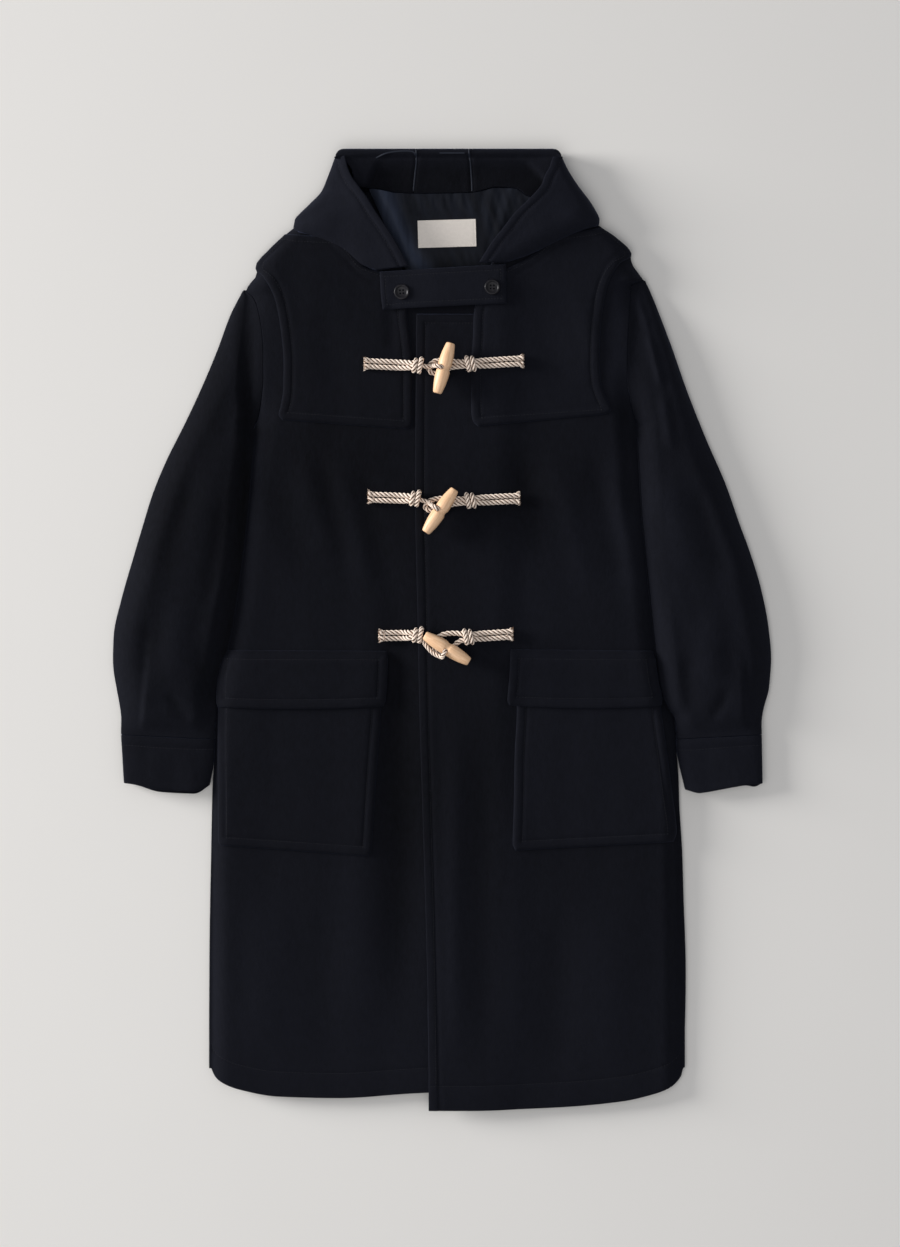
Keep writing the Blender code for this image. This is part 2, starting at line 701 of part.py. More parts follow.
def lining_height(x, y):
    down = (LINING_TOP - y) / (LINING_TOP - LINING_FOOT)
    total = LINING_BASE
    for top_x, foot_x, width, height in LINING_FOLDS:
        away = (x - mix(top_x, foot_x, down)) / width
        total += height * math.exp(-away * away)
    centre_x, centre_y = LABEL["centre"]
    near = smooth((max(abs(x - centre_x) - 38, abs(y - centre_y) - 19, 0)) / 12)
    return mix(LABEL_BASE, total, near)


def make_lining(finish):
    top, bottom = [], []
    rows, columns = 6, 20
    for place in range(rows + 1):
        y = mix(LINING_TOP, LINING_FOOT, place / rows)
        left, right = mix(-86, -40, place / rows), mix(106, 52, place / rows)
        points = [(mix(left, right, i / columns), y) for i in range(columns + 1)]
        top.append([(x, y, lining_height(x, y) + LINING) for x, y in points])
        bottom.append([(x, y, lining_height(x, y)) for x, y in points])
    return wall("lining", top, bottom, finish)


def make_label(finish):
    shape = bmesh.new()
    bmesh.ops.create_cube(shape, size=1)
    place = (
        Matrix.Translation((*LABEL["centre"], LABEL_BASE + LINING + 0.3 + LABEL["thick"] / 2))
        @ Matrix.Rotation(LABEL["turn"], 4, "Z")
        @ Matrix.Diagonal((LABEL["width"], LABEL["height"], LABEL["thick"], 1))
    )
    bmesh.ops.transform(shape, matrix=place, verts=shape.verts)
    return make_object("neck_label", shape, finish)


# Buttons, toggles and cords

BUTTONS = {"right": (-48, 403.8), "left": (60, 409.2)}
BUTTON_PROFILE = (  # radius, height
    (0, 0), (7.6, 0), (9.3, 1.3), (9.3, 2.4), (8.4, 3.2), (7.0, 3.2), (5.6, 2.2), (0, 2.0)
)
BUTTON_HOLE_OFFSET, BUTTON_HOLE_RADIUS = 1.6, 0.9


def turned(name, profile, sides, place, finish):
    """A profile of (radius, height) turned about its axis, then moved by a matrix."""
    shape = bmesh.new()
    rings = []
    for radius, z in profile:
        if radius == 0:
            rings.append([shape.verts.new((0, 0, z))])
            continue
        ring = [2 * math.pi * i / sides for i in range(sides)]
        rings.append([shape.verts.new((radius * math.cos(a), radius * math.sin(a), z)) for a in ring])
    for low, high in zip(rings, rings[1:]):
        for i in range(sides):
            j = (i + 1) % sides
            corners = [low[i % len(low)], low[j % len(low)], high[j % len(high)], high[i % len(high)]]
            shape.faces.new(list(dict.fromkeys(corners)))
    bmesh.ops.transform(shape, matrix=place, verts=shape.verts)
    return make_object(name, shape, finish)


def tab_height(x, y):
    """The surface that the tab stands off: the fronts, with the left one's rise."""
    return mix(front_height("right", x, y), front_height("left", x, y), smooth((x + 60) / 60))


def make_button(side, finish):
    x, y = BUTTONS[side]
    base = tab_height(x, y) + TAB_STAND + PATCH_WOOL + 0.5
    normal = lean(tab_height, x, y)
    place = Matrix.Translation((x, y, base)) @ normal.to_track_quat("Z", "Y").to_matrix().to_4x4()
    made = turned(f"button_{side}", BUTTON_PROFILE, 20, place, finish)
    for across in (-1, 1):
        for up in (-1, 1):
            drill = place @ Matrix.Translation(
                (across * BUTTON_HOLE_OFFSET, up * BUTTON_HOLE_OFFSET, -2)
            )
            hole = [(0, 0), (BUTTON_HOLE_RADIUS, 0), (BUTTON_HOLE_RADIUS, 8), (0, 8)]
            boolean(made, turned("drill", hole, 8, drill, finish), "DIFFERENCE")
    return made


TOGGLE_PROFILE = (  # radius, place along the axis
    (0, -31), (4.9, -31), (5.5, -30), (7.3, -20), (8.3, -10), (8.1, -3.4), (7.1, -1.8), (7.1, 1.8),
    (8.1, 3.4), (8.3, 10), (7.3, 20), (5.5, 30), (4.9, 31), (0, 31),
)
TOGGLE_HOLE = 3.3
ROPE_RADIUS = 3.2
STRAND_RADIUS = 2.7  # of the single strand that holds the toggle
ROPE_GAP = 0.4
TOGGLE_STAND = 2 * ROPE_RADIUS + ROPE_GAP + 0.4 + 8.3  # axis above the cloth: it lies on the loop

# One fastening: toggle ends, the doubled cord's sewn end and knot on either side, the loop's bight.
FASTENINGS = (
    dict(
        toggle=((10.8, 343), (-6, 281)),
        toggle_end=(-92, 318.5), toggle_knot=(-29, 315.5), loop_end=(96.5, 321.5), loop_knot=(34, 317.5),
        bight=((15, 320.5), (4, 322), (-8, 321), (-14.5, 316), (-15, 310), (-9, 306.5), (1, 309), (13, 314)),
        strand=((-23, 315), (-17, 314), (-12, 314.5), (-6, 314.5), (0, 313)),
    ),
    dict(
        toggle=((15.6, 168), (-19.7, 116)),
        toggle_end=(-87.5, 159), toggle_knot=(-32, 157), loop_end=(92, 157.5), loop_knot=(34, 154.5),
        bight=((15, 156.5), (2, 157.5), (-10, 156), (-18, 152), (-19.5, 146.5), (-14, 143), (0, 146), (14, 150.5)),
        strand=((-26, 155.5), (-21, 154), (-16, 152), (-9, 147), (-2, 142)),
    ),
    dict(
        toggle=((-20, -6.5), (32, -37.5)),
        toggle_end=(-74.5, -7), toggle_knot=(-29, -6), loop_end=(84, -5), loop_knot=(31.5, -8.3),
        bight=((19, -4), (5, -4.5), (-5, -9), (-10, -17), (-7, -24), (2, -26.5), (11, -22), (21, -13.5)),
        strand=((-24, -11), (-18, -20), (-10, -28), (-2.5, -33), (6, -22)),
    ),
)


def rest_height(x, y):
    """Highest cloth under a cord or toggle."""
    height = front_height("left", x, y) if x > FRONT_EDGE["left"](y) - 5 else front_height("right", x, y)
    on_yoke = 243 < y < 400 and (x < -33 or x > 33)
    return height + (LAY_GAP + PATCH_WOOL if on_yoke else 0.0)


def highest_near(x, y, reach=6.0):
    return max(rest_height(x + dx, y) for dx in (-reach, -reach / 2, 0, reach / 2, reach))


def tube(name, points, radii, finish, sides=6, closed=False):
    """A round tube along a path, with flat ends."""
    shape = bmesh.new()
    path = [Vector(point) for point in points]
    rings = []
    for i, point in enumerate(path):
        before = path[i - 1] if closed else path[max(i - 1, 0)]
        after = path[(i + 1) % len(path)] if closed else path[min(i + 1, len(path) - 1)]
        turn = (after - before).normalized().to_track_quat("Y", "Z")
        ring = []
        for j in range(sides):
            angle = 2 * math.pi * (j + 0.5) / sides
            offset = Vector((math.cos(angle), 0, math.sin(angle))) * radii[i]
            ring.append(point + turn @ offset)
        rings.append(ring)
    if closed:
        rings.append(rings[0])
    verts = add_grid(shape, rings, closed=True)
    if closed:
        bmesh.ops.remove_doubles(shape, verts=shape.verts, dist=0.001)
    else:
        shape.faces.new(verts[0])
        shape.faces.new(verts[-1])
    return make_object(name, shape, finish)


def wrap(name, x, y, z, tilt, finish):
    """One turn of a knot around the doubled cord."""
    count, half_width, half_height = 10, 7.6, 4.8
    points = []
    for i in range(count):
        angle = 2 * math.pi * i / count
        up = half_width * math.cos(angle)
        points.append((x + tilt * up / half_width, y + up, z + half_height * math.sin(angle)))
    return tube(name, points, [2.7] * count, finish, sides=5, closed=True)


KNOT_LIFT = 8.0
STRAND_APART = 3.5  # each strand of the doubled cord is this far from the pair's middle


def doubled(end, knot, upper):
    """Points of one strand, from the sewn end to the knot, resting on the cloth."""
    side = 1 if upper else -1
    points = []
    for share in (0, 0.07, 0.45, 0.78, 1):
        x, y = mix(end[0], knot[0], share), mix(end[1], knot[1], share)
        flare = 1.0 if share == 0 else 0.0
        y += side * (STRAND_APART + flare - 1.5 * smooth((share - 0.7) / 0.3))
        on_cloth = highest_near(x, y) + ROPE_GAP + ROPE_RADIUS
        points.append(Vector((x, y, mix(on_cloth, knot_height(knot), smooth((share - 0.55) / 0.45)))))
    return points


def knot_height(knot):
    return highest_near(knot[0], knot[1], 9) + KNOT_LIFT


def make_toggle(index, fastening, finish):
    first, last = (Vector((*point, 0)) for point in fastening["toggle"])
    middle = (first + last) / 2
    middle.z = highest_near(middle.x, middle.y) + TOGGLE_STAND
    turn = (first - last).normalized().to_track_quat("Z", "X").to_matrix().to_4x4()
    place = Matrix.Translation(middle) @ turn
    made = turned(f"toggle_{index}", TOGGLE_PROFILE, 14, place, finish)
    route = [Vector((x, y, 0)) for x, y in fastening["strand"]]
    across = (route[-1] - route[-2]).normalized()
    away = (first - last).normalized()
    across = (across - across.dot(away) * away).normalized()
    hole_turn = across.to_track_quat("Z", "X").to_matrix().to_4x4()
    drill = Matrix.Translation(middle) @ hole_turn @ Matrix.Translation((0, 0, -20))
    hole = [(0, 0), (TOGGLE_HOLE, 0), (TOGGLE_HOLE, 40), (0, 40)]
    boolean(made, turned("drill", hole, 10, drill, finish), "DIFFERENCE")
    return made, middle, across


def make_toggle_cord(index, fastening, middle, across, finish):
    """The doubled cord on the right front, its knot, and the strand into the toggle's hole."""
    end, knot = fastening["toggle_end"], fastening["toggle_knot"]
    name = f"toggle_cord_{index}"
    made = tube(name, doubled(end, knot, True), [ROPE_RADIUS] * 5, finish)
    boolean(made, tube("strand", doubled(end, knot, False), [ROPE_RADIUS] * 5, finish), "UNION", "MANIFOLD")
    top = highest_near(-12, knot[1]) + ROPE_GAP + 2 * ROPE_RADIUS + 0.5 + STRAND_RADIUS
    route = fastening["strand"]
    heights = [knot_height(knot), mix(knot_height(knot), top, 0.7), top, mix(top, middle.z, 0.4)]
    points = [Vector((x, y, z)) for (x, y), z in zip(route, heights)]
    points = [Vector((*knot, knot_height(knot))), *points]
    points += [middle - across * 9, middle + across * 1]
    boolean(made, tube("single", points, [STRAND_RADIUS] * len(points), finish), "UNION", "MANIFOLD")
    for offset in (-2.4, 2.4):
        turn = wrap("wrap", knot[0] + offset, knot[1], knot_height(knot), 1.2, finish)
        boolean(made, turn, "UNION", "MANIFOLD")
    return made


def make_loop_cord(index, fastening, finish):
    """The doubled cord on the left front: one rope that ends in the loop around the toggle."""
    end, knot = fastening["loop_end"], fastening["loop_knot"]
    bight = []
    for x, y in fastening["bight"]:
        bight.append(Vector((x, y, highest_near(x, y) + ROPE_GAP + ROPE_RADIUS)))
    low = doubled(end, knot, False)
    points = [*doubled(end, knot, True), *bight, *low[::-1]]
    made = tube(f"loop_cord_{index}", points, [ROPE_RADIUS] * len(points), finish)
    for offset in (-2.4, 2.4):
        turn = wrap("wrap", knot[0] + offset, knot[1], knot_height(knot), -1.2, finish)
        boolean(made, turn, "UNION", "MANIFOLD")
    return made


def main():
    for old in list(bpy.data.objects):
        bpy.data.objects.remove(old, do_unlink=True)
    wool = material("wool", NAVY, 0.9)
    satin = material("satin", SATIN, 0.35)
    label = material("label", IVORY, 0.7)
    rope = material("rope", ROPE, 0.85)
    birch = material("birch", BIRCH, 0.5)
    horn = material("horn", HORN, 0.2)

    make_back(wool)
    for side in ("right", "left"):
        make_front(side, wool)
        make_upper_sleeve(side, wool)
        make_under_sleeve(side, wool)
        make_cuff(side, wool)
        make_patch(f"yoke_{side}", side, YOKES[side], wool, stand=YOKE_STAND)
        make_patch(f"pocket_{side}", side, POCKETS[side], wool)
        make_patch(f"pocket_flap_{side}", side, FLAPS[side], wool, sag=3)
        hood = make_hood_side(side, wool)
        boolean(hood, make_hood_back(side, "hood_back", wool), "UNION")
        make_button(side, horn)
    make_hood_back("centre", "hood_centre", wool)
    make_tab(wool)
    make_lining(satin)
    make_label(label)
    for index, fastening in enumerate(FASTENINGS, 1):
        _, middle, across = make_toggle(index, fastening, birch)
        make_toggle_cord(index, fastening, middle, across, rope)
        make_loop_cord(index, fastening, rope)


main()
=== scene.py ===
# %% [markdown]
# # A hooded duffle coat, laid flat
# The coat lies on its back, closed with three toggles, with its hood folded down behind the neck. The
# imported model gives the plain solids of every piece. This file dresses them: each piece of wool becomes a
# finer sheet with round, stitched edges, the cords get their twist, and every surface gets its finish.

# %% Load the frame
import json
import math

import bmesh
import bpy
import numpy as np
from mathutils import Matrix, Vector
from mathutils.kdtree import KDTree

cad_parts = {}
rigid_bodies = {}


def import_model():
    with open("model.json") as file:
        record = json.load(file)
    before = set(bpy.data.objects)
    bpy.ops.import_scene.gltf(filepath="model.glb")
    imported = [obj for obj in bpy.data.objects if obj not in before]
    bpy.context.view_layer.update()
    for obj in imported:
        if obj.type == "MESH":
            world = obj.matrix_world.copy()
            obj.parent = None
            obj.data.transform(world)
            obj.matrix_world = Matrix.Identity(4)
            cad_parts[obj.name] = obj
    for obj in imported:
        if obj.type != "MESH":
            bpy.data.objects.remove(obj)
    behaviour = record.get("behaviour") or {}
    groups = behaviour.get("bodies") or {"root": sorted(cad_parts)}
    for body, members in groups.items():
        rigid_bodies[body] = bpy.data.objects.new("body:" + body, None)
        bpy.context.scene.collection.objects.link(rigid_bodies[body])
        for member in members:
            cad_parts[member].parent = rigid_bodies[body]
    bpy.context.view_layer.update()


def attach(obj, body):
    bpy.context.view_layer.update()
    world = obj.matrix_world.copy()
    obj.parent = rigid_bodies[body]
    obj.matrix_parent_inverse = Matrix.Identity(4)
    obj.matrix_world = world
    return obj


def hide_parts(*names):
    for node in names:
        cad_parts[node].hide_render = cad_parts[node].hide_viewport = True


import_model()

# %% [markdown]
# ## Sizes
# A tailor thinks in millimetres, so the tables below do too, and `MM` turns them into Blender's metres.
# The cut of each piece is a function of Y, which runs from the hem at -577 to the neck at 527. X grows to
# the wearer's left, and `right` and `left` are the wearer's.

# %% Small tools for curves
MM = 0.001
OUT = {"right": -1, "left": 1}
SIDES = ("right", "left")


def curve(*points):
    """A smooth function through (position, value) pairs, which never overshoots them."""
    at, value = np.array(points, float).T
    slope = np.diff(value) / np.diff(at)
    before, after = slope[:-1], slope[1:]
    total = np.where(before * after > 0, before + after, 1.0)
    inner = np.where(before * after > 0, 2 * before * after / total, 0.0)
    tangent = np.concatenate([slope[:1], inner, slope[-1:]])

    def read(position):
        i = np.clip(np.searchsorted(at, position, side="right") - 1, 0, len(at) - 2)
        span = at[i + 1] - at[i]
        t = np.clip((position - at[i]) / span, 0.0, 1.0)
        return (
            (1 + 2 * t) * (1 - t) ** 2 * value[i]
            + t * (1 - t) ** 2 * span * tangent[i]
            + t * t * (3 - 2 * t) * value[i + 1]
            + t * t * (t - 1) * span * tangent[i + 1]
        )

    return read


def smooth(t):
    t = np.clip(t, 0.0, 1.0)
    return t * t * (3 - 2 * t)


def mix(a, b, t):
    return a + (b - a) * t


def rise(distance, reach):
    """0 at an edge and 1 once this far inside it, round like the fold of thick cloth."""
    return 1 - (1 - np.clip(distance / reach, 0.0, 1.0)) ** 2


def bump(distance, width):
    """1 at no distance, and near 0 beyond twice the width."""
    return np.exp(-((distance / width) ** 2))


def lengths_along(points):
    """How far along a chain of points each of them is."""
    return np.concatenate([[0], np.cumsum(np.linalg.norm(np.diff(points, axis=0), axis=1))])


def show(title, pieces):
    print(title, [len(piece.data.polygons) for piece in pieces], "faces")


# %% [markdown]
# ## The cut
# These tables give each large piece's outline: X for each Y. Neighbours share them, so their seams meet.

# %% The cut of the body and the sleeves
BODY_EDGE = {
    "right": curve(
        (-540, -280), (-497, -280), (-380, -279.5), (-264, -277.5), (-192, -276), (-152, -274),
        (-91, -272.5), (-42, -271), (4, -268), (35, -265), (95, -259), (162, -253), (195, -250.5),
        (215, -243), (238, -229), (257, -220), (276, -216.5), (302, -214), (330, -214), (359, -216),
        (389, -222), (400, -227.5), (407, -235), (412, -233.5), (417, -230), (428, -222.5), (434, -224),
        (440, -220), (454, -209), (482, -180), (508, -134), (519, -107), (527, -88),
    ),
    "left": curve(
        (-540, 291), (-497, 292), (-410, 293), (-322, 290.4), (-264, 288.6), (-216, 285.6),
        (-180, 284.4), (-152, 282.5), (-138, 281.7), (-126, 281.0), (-120, 280.7), (-114, 280.2),
        (-108, 279.4), (-102, 278.2), (-96, 276.9), (-91, 275.8), (-36, 270), (26, 266.5), (84, 265),
        (139, 262), (190, 259), (215, 250), (240, 237), (262, 229), (280, 225), (300, 222), (330, 222),
        (360, 223), (396, 225.5), (412, 227), (416.5, 230), (419.5, 242), (426, 238), (442, 228),
        (450, 227), (464, 216), (487, 188), (509, 154), (519, 128), (527, 108),
    ),
}
FRONT_EDGE = {
    "right": curve((-577, 60), (372, 60), (396, 45), (412, -38), (442, -52), (480, -72), (519, -88)),
    "left": curve(
        (-577, -14), (-516, -15.6), (-324, -20.4), (-84, -27.6), (36, -30), (156, -32.4), (378, -31)
    ),
}
FAR = 1e3  # further than anything reaches
LEFT_TOP = 378  # the left front's own top edge, which shows under the throat tab
LEFT_INNER = 38  # above it, the left front is only as wide as its yoke
LEFT_NECKLINE = curve((378, 38), (412, 44), (440, 60), (480, 86), (505, 102), (519, 112))
HEM = {
    "right": curve(
        (-277, -527), (-275, -534), (-266, -542.5), (-242, -552), (-198, -560), (-126, -562),
        (-30, -556), (60, -552)
    ),
    "left": curve(
        (-14, -577), (36, -577), (100, -575), (158, -572), (216, -566), (250, -558.5), (270, -551.5),
        (282, -544), (288, -535), (290, -526),
    ),
}
BACK_HEM = curve(
    (-277, -523), (-275, -530), (-266, -538.5), (-242, -548), (-198, -555), (-126, -557), (0, -553),
    (126, -556), (216, -556), (250, -552), (270, -546.5), (282, -539), (288, -530), (290, -521),
)
SLEEVE_OUT = {
    "right": curve(
        (-126, -386), (-108, -387), (-74, -391), (-50, -395), (-36, -396), (-6, -395), (36, -386),
        (85, -372), (122, -361), (164, -348), (205, -331), (247, -310), (292, -289), (340, -269),
        (378, -255), (396, -246), (407, -239.8), (412, -237),
    ),
    "left": curve(
        (-126, 384), (-100, 388), (-65, 394), (-34, 396), (2, 393), (49, 384), (101, 368),
        (122, 360), (176, 341), (229, 318), (287, 295), (341, 276), (386, 259), (408, 250), (419.5, 244.6),
    ),
}
SLEEVE_IN = {
    "right": curve(
        (-126, -275), (-91, -272.5), (-66, -268), (-42, -262), (4, -251.5), (35, -246.5), (95, -238),
        (162, -231), (208, -227), (246, -222.5), (262, -219), (276, -216.5),
    ),
    "left": curve(
        (-126, 280.9), (-105, 277.9), (-91, 267), (-36, 258), (26, 251), (84, 245), (139, 240),
        (208, 236), (246, 232), (262, 229), (276, 226),
    ),
}
SLEEVE_TOP = {"right": 408, "left": 419.5}
ARMPIT, CUFF_SEAM = 246, -125
CUFF_SEAM_X = {"right": (-385.5, -272.3), "left": (384, 280.9)}
CUFF_SEAM_Y = (-125.6, -131)


def sleeve_foot(side, x):
    """Y of the slanting seam between sleeve and cuff."""
    outer, inner = CUFF_SEAM_X[side]
    return mix(*CUFF_SEAM_Y, np.clip((x - outer) / (inner - outer), 0, 1))

# %% [markdown]
# ## How high the cloth lies
# A coat on a table isn't a flat drawing. Each front is a low arch: round at the side seam, full in the
# middle, with a few long soft folds, and the left one rides up over the right one. These heights are
# those of the plain solids, within a few millimetres, so a fine sheet lies where its solid does.

# %% Heights of the fronts
WOOL, PATCH_WOOL = 2.6, 2.4
SEAM_GAP, LAY_GAP = 0.4, 0.35
ROLL_SHARE = 0.55  # of its thickness, over which a free edge rolls round
SEWN_ROLL, EDGE_ROLL = 0.5, ROLL_SHARE * WOOL
EDGE_HEIGHT, LAP_HEIGHT, REAR_LIFT = 6.2, 3.9, 3.3

LOFT = curve(
    (-577, 12), (-540, 14), (-400, 17), (-100, 19), (150, 21), (300, 23), (420, 23), (465, 20), (519, 13)
)
EDGE_TOP = curve(
    (-577, 6.2), (190, 6.2), (232, 8), (262, 12), (290, 18), (330, 21.5), (365, 21), (390, 17.5),
    (405, 13.5), (416, 9.5), (430, 7), (454, 6.2), (527, 6.2),
)
EDGE_REACH = curve((-577, 18), (-160, 20), (-60, 26), (200, 30), (262, 28), (300, 24), (400, 24), (519, 26))
SLEEVE_LOFT = curve(
    (-126, 21), (-60, 26), (60, 27.5), (190, 26), (270, 23.5), (330, 21), (365, 18.2), (400, 13), (425, 9.5)
)

# Each fold runs from one point to another: from_x, from_y, to_x, to_y, width, height (a trough below 0)
FOLDS = {
    "front_right": (
        (-172, 218, -130, 84, 16, 2.0), (-133, 238, -88, 48, 17, 2.0), (-152, 230, -112, 60, 13, -1.2),
        (-98, 200, -64, 40, 15, -1.4), (-212, 200, -160, 60, 18, -1.6), (-210, 335, -226, 165, 8, 3.0),
        (-222, 195, -243, 50, 10, 2.4), (-54, 90, -46, -460, 24, -4.6), (-100, 20, -104, -480, 28, 1.8),
        (-205, -290, -215, -520, 26, 2.0), (-150, -320, -140, -530, 24, -1.4),
        (-62, 405, -58, 330, 9, -2.0), (-150, 400, -120, 280, 22, -1.2),
    ),
    "front_left": (
        (128, 228, 178, 40, 16, 2.4), (92, 225, 118, 80, 13, -1.8), (176, 225, 214, 60, 14, -1.8),
        (205, 200, 238, 20, 13, 2.2), (16, -60, 14, -520, 14, 2.6), (52, -80, 50, -520, 18, -2.0),
        (92, -150, 92, -540, 16, 1.8), (190, -300, 200, -530, 26, 2.0), (140, -320, 136, -540, 20, -1.6),
        (214, 330, 226, 120, 8, -3.0), (110, 400, 150, 290, 20, -1.4), (160, 410, 186, 320, 12, 1.6),
    ),
    "sleeve_right": (
        (-262, 250, -300, 80, 20, 1.8), (-292, 190, -338, 60, 14, -1.8), (-256, 180, -282, 20, 11, -2.0),
        (-340, 20, -352, -60, 14, -1.8), (-312, 40, -318, -60, 16, 2.2), (-286, -10, -288, -96, 10, -2.4),
        (-331, -74, -302, -110, 7, -2.2), (-318, -92, -296, -116, 9, 0.8),
    ),
    "sleeve_left": (
        (229, 412, 247, 358, 5, 2.6), (245, 362, 263, 290, 5, 3.0), (262, 292, 274, 215, 7, 2.6),
        (268, 200, 296, 60, 18, 2.4), (300, 180, 340, 60, 14, -2.6), (255, 160, 272, 20, 10, -1.8),
        (340, -10, 350, -60, 12, -1.8), (316, 30, 322, -70, 16, 2.2), (292, -20, 296, -100, 10, -2.4),
        (344, -70, 322, -108, 7, -2.6),
    ),
}

# A pleat is a lap of cloth: low on its first side and high on the other, along a line down to the cuff.
PLEATS = {
    "sleeve_right": ((-346, 22, -361.5, -118, 4.0),),
    "sleeve_left": ((355, 6, 366.5, -118, -3.2),),
}


def pleat_height(piece, x, y):
    """A sharp step across each pleat's line. It dies away more slowly on its raised side."""
    total = 0.0
    for top_x, top_y, foot_x, foot_y, height in PLEATS.get(piece, ()):
        share = (top_y - y) / (top_y - foot_y)
        across = x - mix(top_x, foot_x, share)
        step = smooth(across / 4.4 + 0.5) - 0.5
        fade = np.where(across * np.sign(height) > 0, bump(across, 50), bump(across, 24))
        total = total + height * step * fade * smooth(share * 1.6) * smooth((y - foot_y) / 14 + 0.35)
    return total


def fold_height(piece, x, y):
    total = 0.0
    for from_x, from_y, to_x, to_y, width, height in FOLDS[piece]:
        run_x, run_y = to_x - from_x, to_y - from_y
        along = ((x - from_x) * run_x + (y - from_y) * run_y) / (run_x**2 + run_y**2)
        t = np.clip(along, 0.0, 1.0)
        away = np.hypot(x - mix(from_x, to_x, t), y - mix(from_y, to_y, t))
        total = total + height * bump(away, width) * smooth(3 * t) * smooth(3 * (1 - t) + 0.3)
    return total


# %% Unrest, laps and the top of a front
def soft_noise(x, y, size_x, size_y, seed):
    """Smooth noise from about -1 to 1, with lumps of this size."""
    px, py = x / size_x, y / size_y
    ix, iy = np.floor(px), np.floor(py)
    fx, fy = px - ix, py - iy
    total = 0.0
    for dx in (0, 1):
        for dy in (0, 1):
            spin = np.sin((ix + dx) * 127.1 + (iy + dy) * 311.7 + seed * 74.7) * 43758.5453
            angle = 2 * np.pi * (spin - np.floor(spin))
            pull = np.cos(angle) * (fx - dx) + np.sin(angle) * (fy - dy)
            weight_x, weight_y = np.abs(1 - dx - fx), np.abs(1 - dy - fy)
            ease_x = weight_x**3 * (weight_x * (weight_x * 6 - 15) + 10)
            ease_y = weight_y**3 * (weight_y * (weight_y * 6 - 15) + 10)
            total = total + pull * ease_x * ease_y
    return 1.5 * total


def rear_lift(x, y):
    """The hood's rear lies under the back here."""
    return REAR_LIFT * smooth((190 - np.abs(x - 7)) / 30) * smooth((y - 300) / 30)


def lap_lift(x):
    """How far the left front rides up where the right one is under it."""
    return LAP_HEIGHT * (smooth((x + 80) / 30) - smooth((x - 62) / 40))


def front_base(side, x, y):
    """A front stays low under the sleeve and rises from where the sleeve ends."""
    covered = np.clip(OUT[side] * (BODY_EDGE[side](y) - SLEEVE_IN[side](np.minimum(y, ARMPIT))), 0, 30)
    covered = 0.8 * covered * smooth((ARMPIT + 6 - y) / 20)
    inside = np.maximum(OUT[side] * (BODY_EDGE[side](y) - x) - covered, 0)
    edge = EDGE_TOP(y) + rear_lift(x, y)
    height = mix(edge, LOFT(y), rise(inside, EDGE_REACH(y))) + fold_height(f"front_{side}", x, y)
    return height + (lap_lift(x) if side == "left" else 0.0)


def front_height(side, x, y):
    """Top of a front: its arch and folds, and the small unrest that pressed wool keeps."""
    inside = OUT[side] * (BODY_EDGE[side](y) - x)
    seed = 3 if side == "right" else 8
    drape = 0.8 * soft_noise(x, y, 46, 260, seed) + 0.25 * soft_noise(x, y, 30, 90, seed + 1)
    return front_base(side, x, y) + drape * smooth(inside / 30)


# %% [markdown]
# ## How high the sleeves lie
# A sleeve is a low tube, sewn on above the armpit. Below, it lies on the body's side and then on the
# table.

# %% Heights of the sleeves
def sleeve_overlap(y):
    """0 where the sleeve is sewn to the armhole and 1 where it lies on the body's side."""
    return smooth((ARMPIT + 14 - y) / 46)


def under_sleeve_height(side, x, y):
    """Underside of the under sleeve: on the floor, and up over the body's side where it overlaps."""
    inside = OUT[side] * (BODY_EDGE[side](y) - x)
    on_body = front_height(side, x, y) + 0.8
    beside = (EDGE_TOP(y) + 0.8) * smooth(1 + (inside + 1.5) / 11)
    return np.where(inside >= 0, on_body, beside) * sleeve_overlap(y)


def sleeve_inner(side, y):
    """The sleeve's inner edge: just off the armhole's edge above the armpit."""
    at_armhole = OUT[side] * BODY_EDGE[side](y) + mix(0.15, -2.5, sleeve_overlap(y))
    under_arm = np.where(y >= ARMPIT, FAR, OUT[side] * SLEEVE_IN[side](y))
    return OUT[side] * np.minimum(at_armhole, under_arm)


# Beside the armhole the sleeve's head sinks before it rises: the valley's depth, and its distance from the
# seam.
VALLEY = {
    "right": (curve((225, 0), (262, 0.4), (291, 0.7), (336, 0.5), (385, 0.12), (405, 0)),
              curve((246, 12), (291, 20), (336, 23), (382, 17), (405, 8))),
    "left": (curve((235, 0), (300, 0.25), (360, 0.3), (425, 0)), curve((246, 6), (420, 6))),
}
OUTER_REACH = {"right": curve((-126, 34), (300, 34), (360, 24), (408, 8)),
               "left": curve((-126, 34), (180, 34), (280, 20), (340, 14), (420, 8))}
INNER_REACH = {"right": curve((-126, 28), (140, 26), (280, 20), (420, 16)),
               "left": curve((-126, 24), (420, 24))}
INNER_SOFT = {"right": 0.85, "left": 0.3}  # 0 for a round edge, 1 for one that sinks softly
CUFF_TALL = 17.0


def cuff_section(side, x, top=True):
    """Height of a flattened cuff at its seam."""
    outer, inner = CUFF_SEAM_X[side]
    across = np.clip(np.abs(x - (outer + inner) / 2) / (abs(outer - inner) / 2), 0, 1)
    return CUFF_TALL / 2 * (1 + (1 if top else -1) * (1 - across**3.6) ** 0.3)


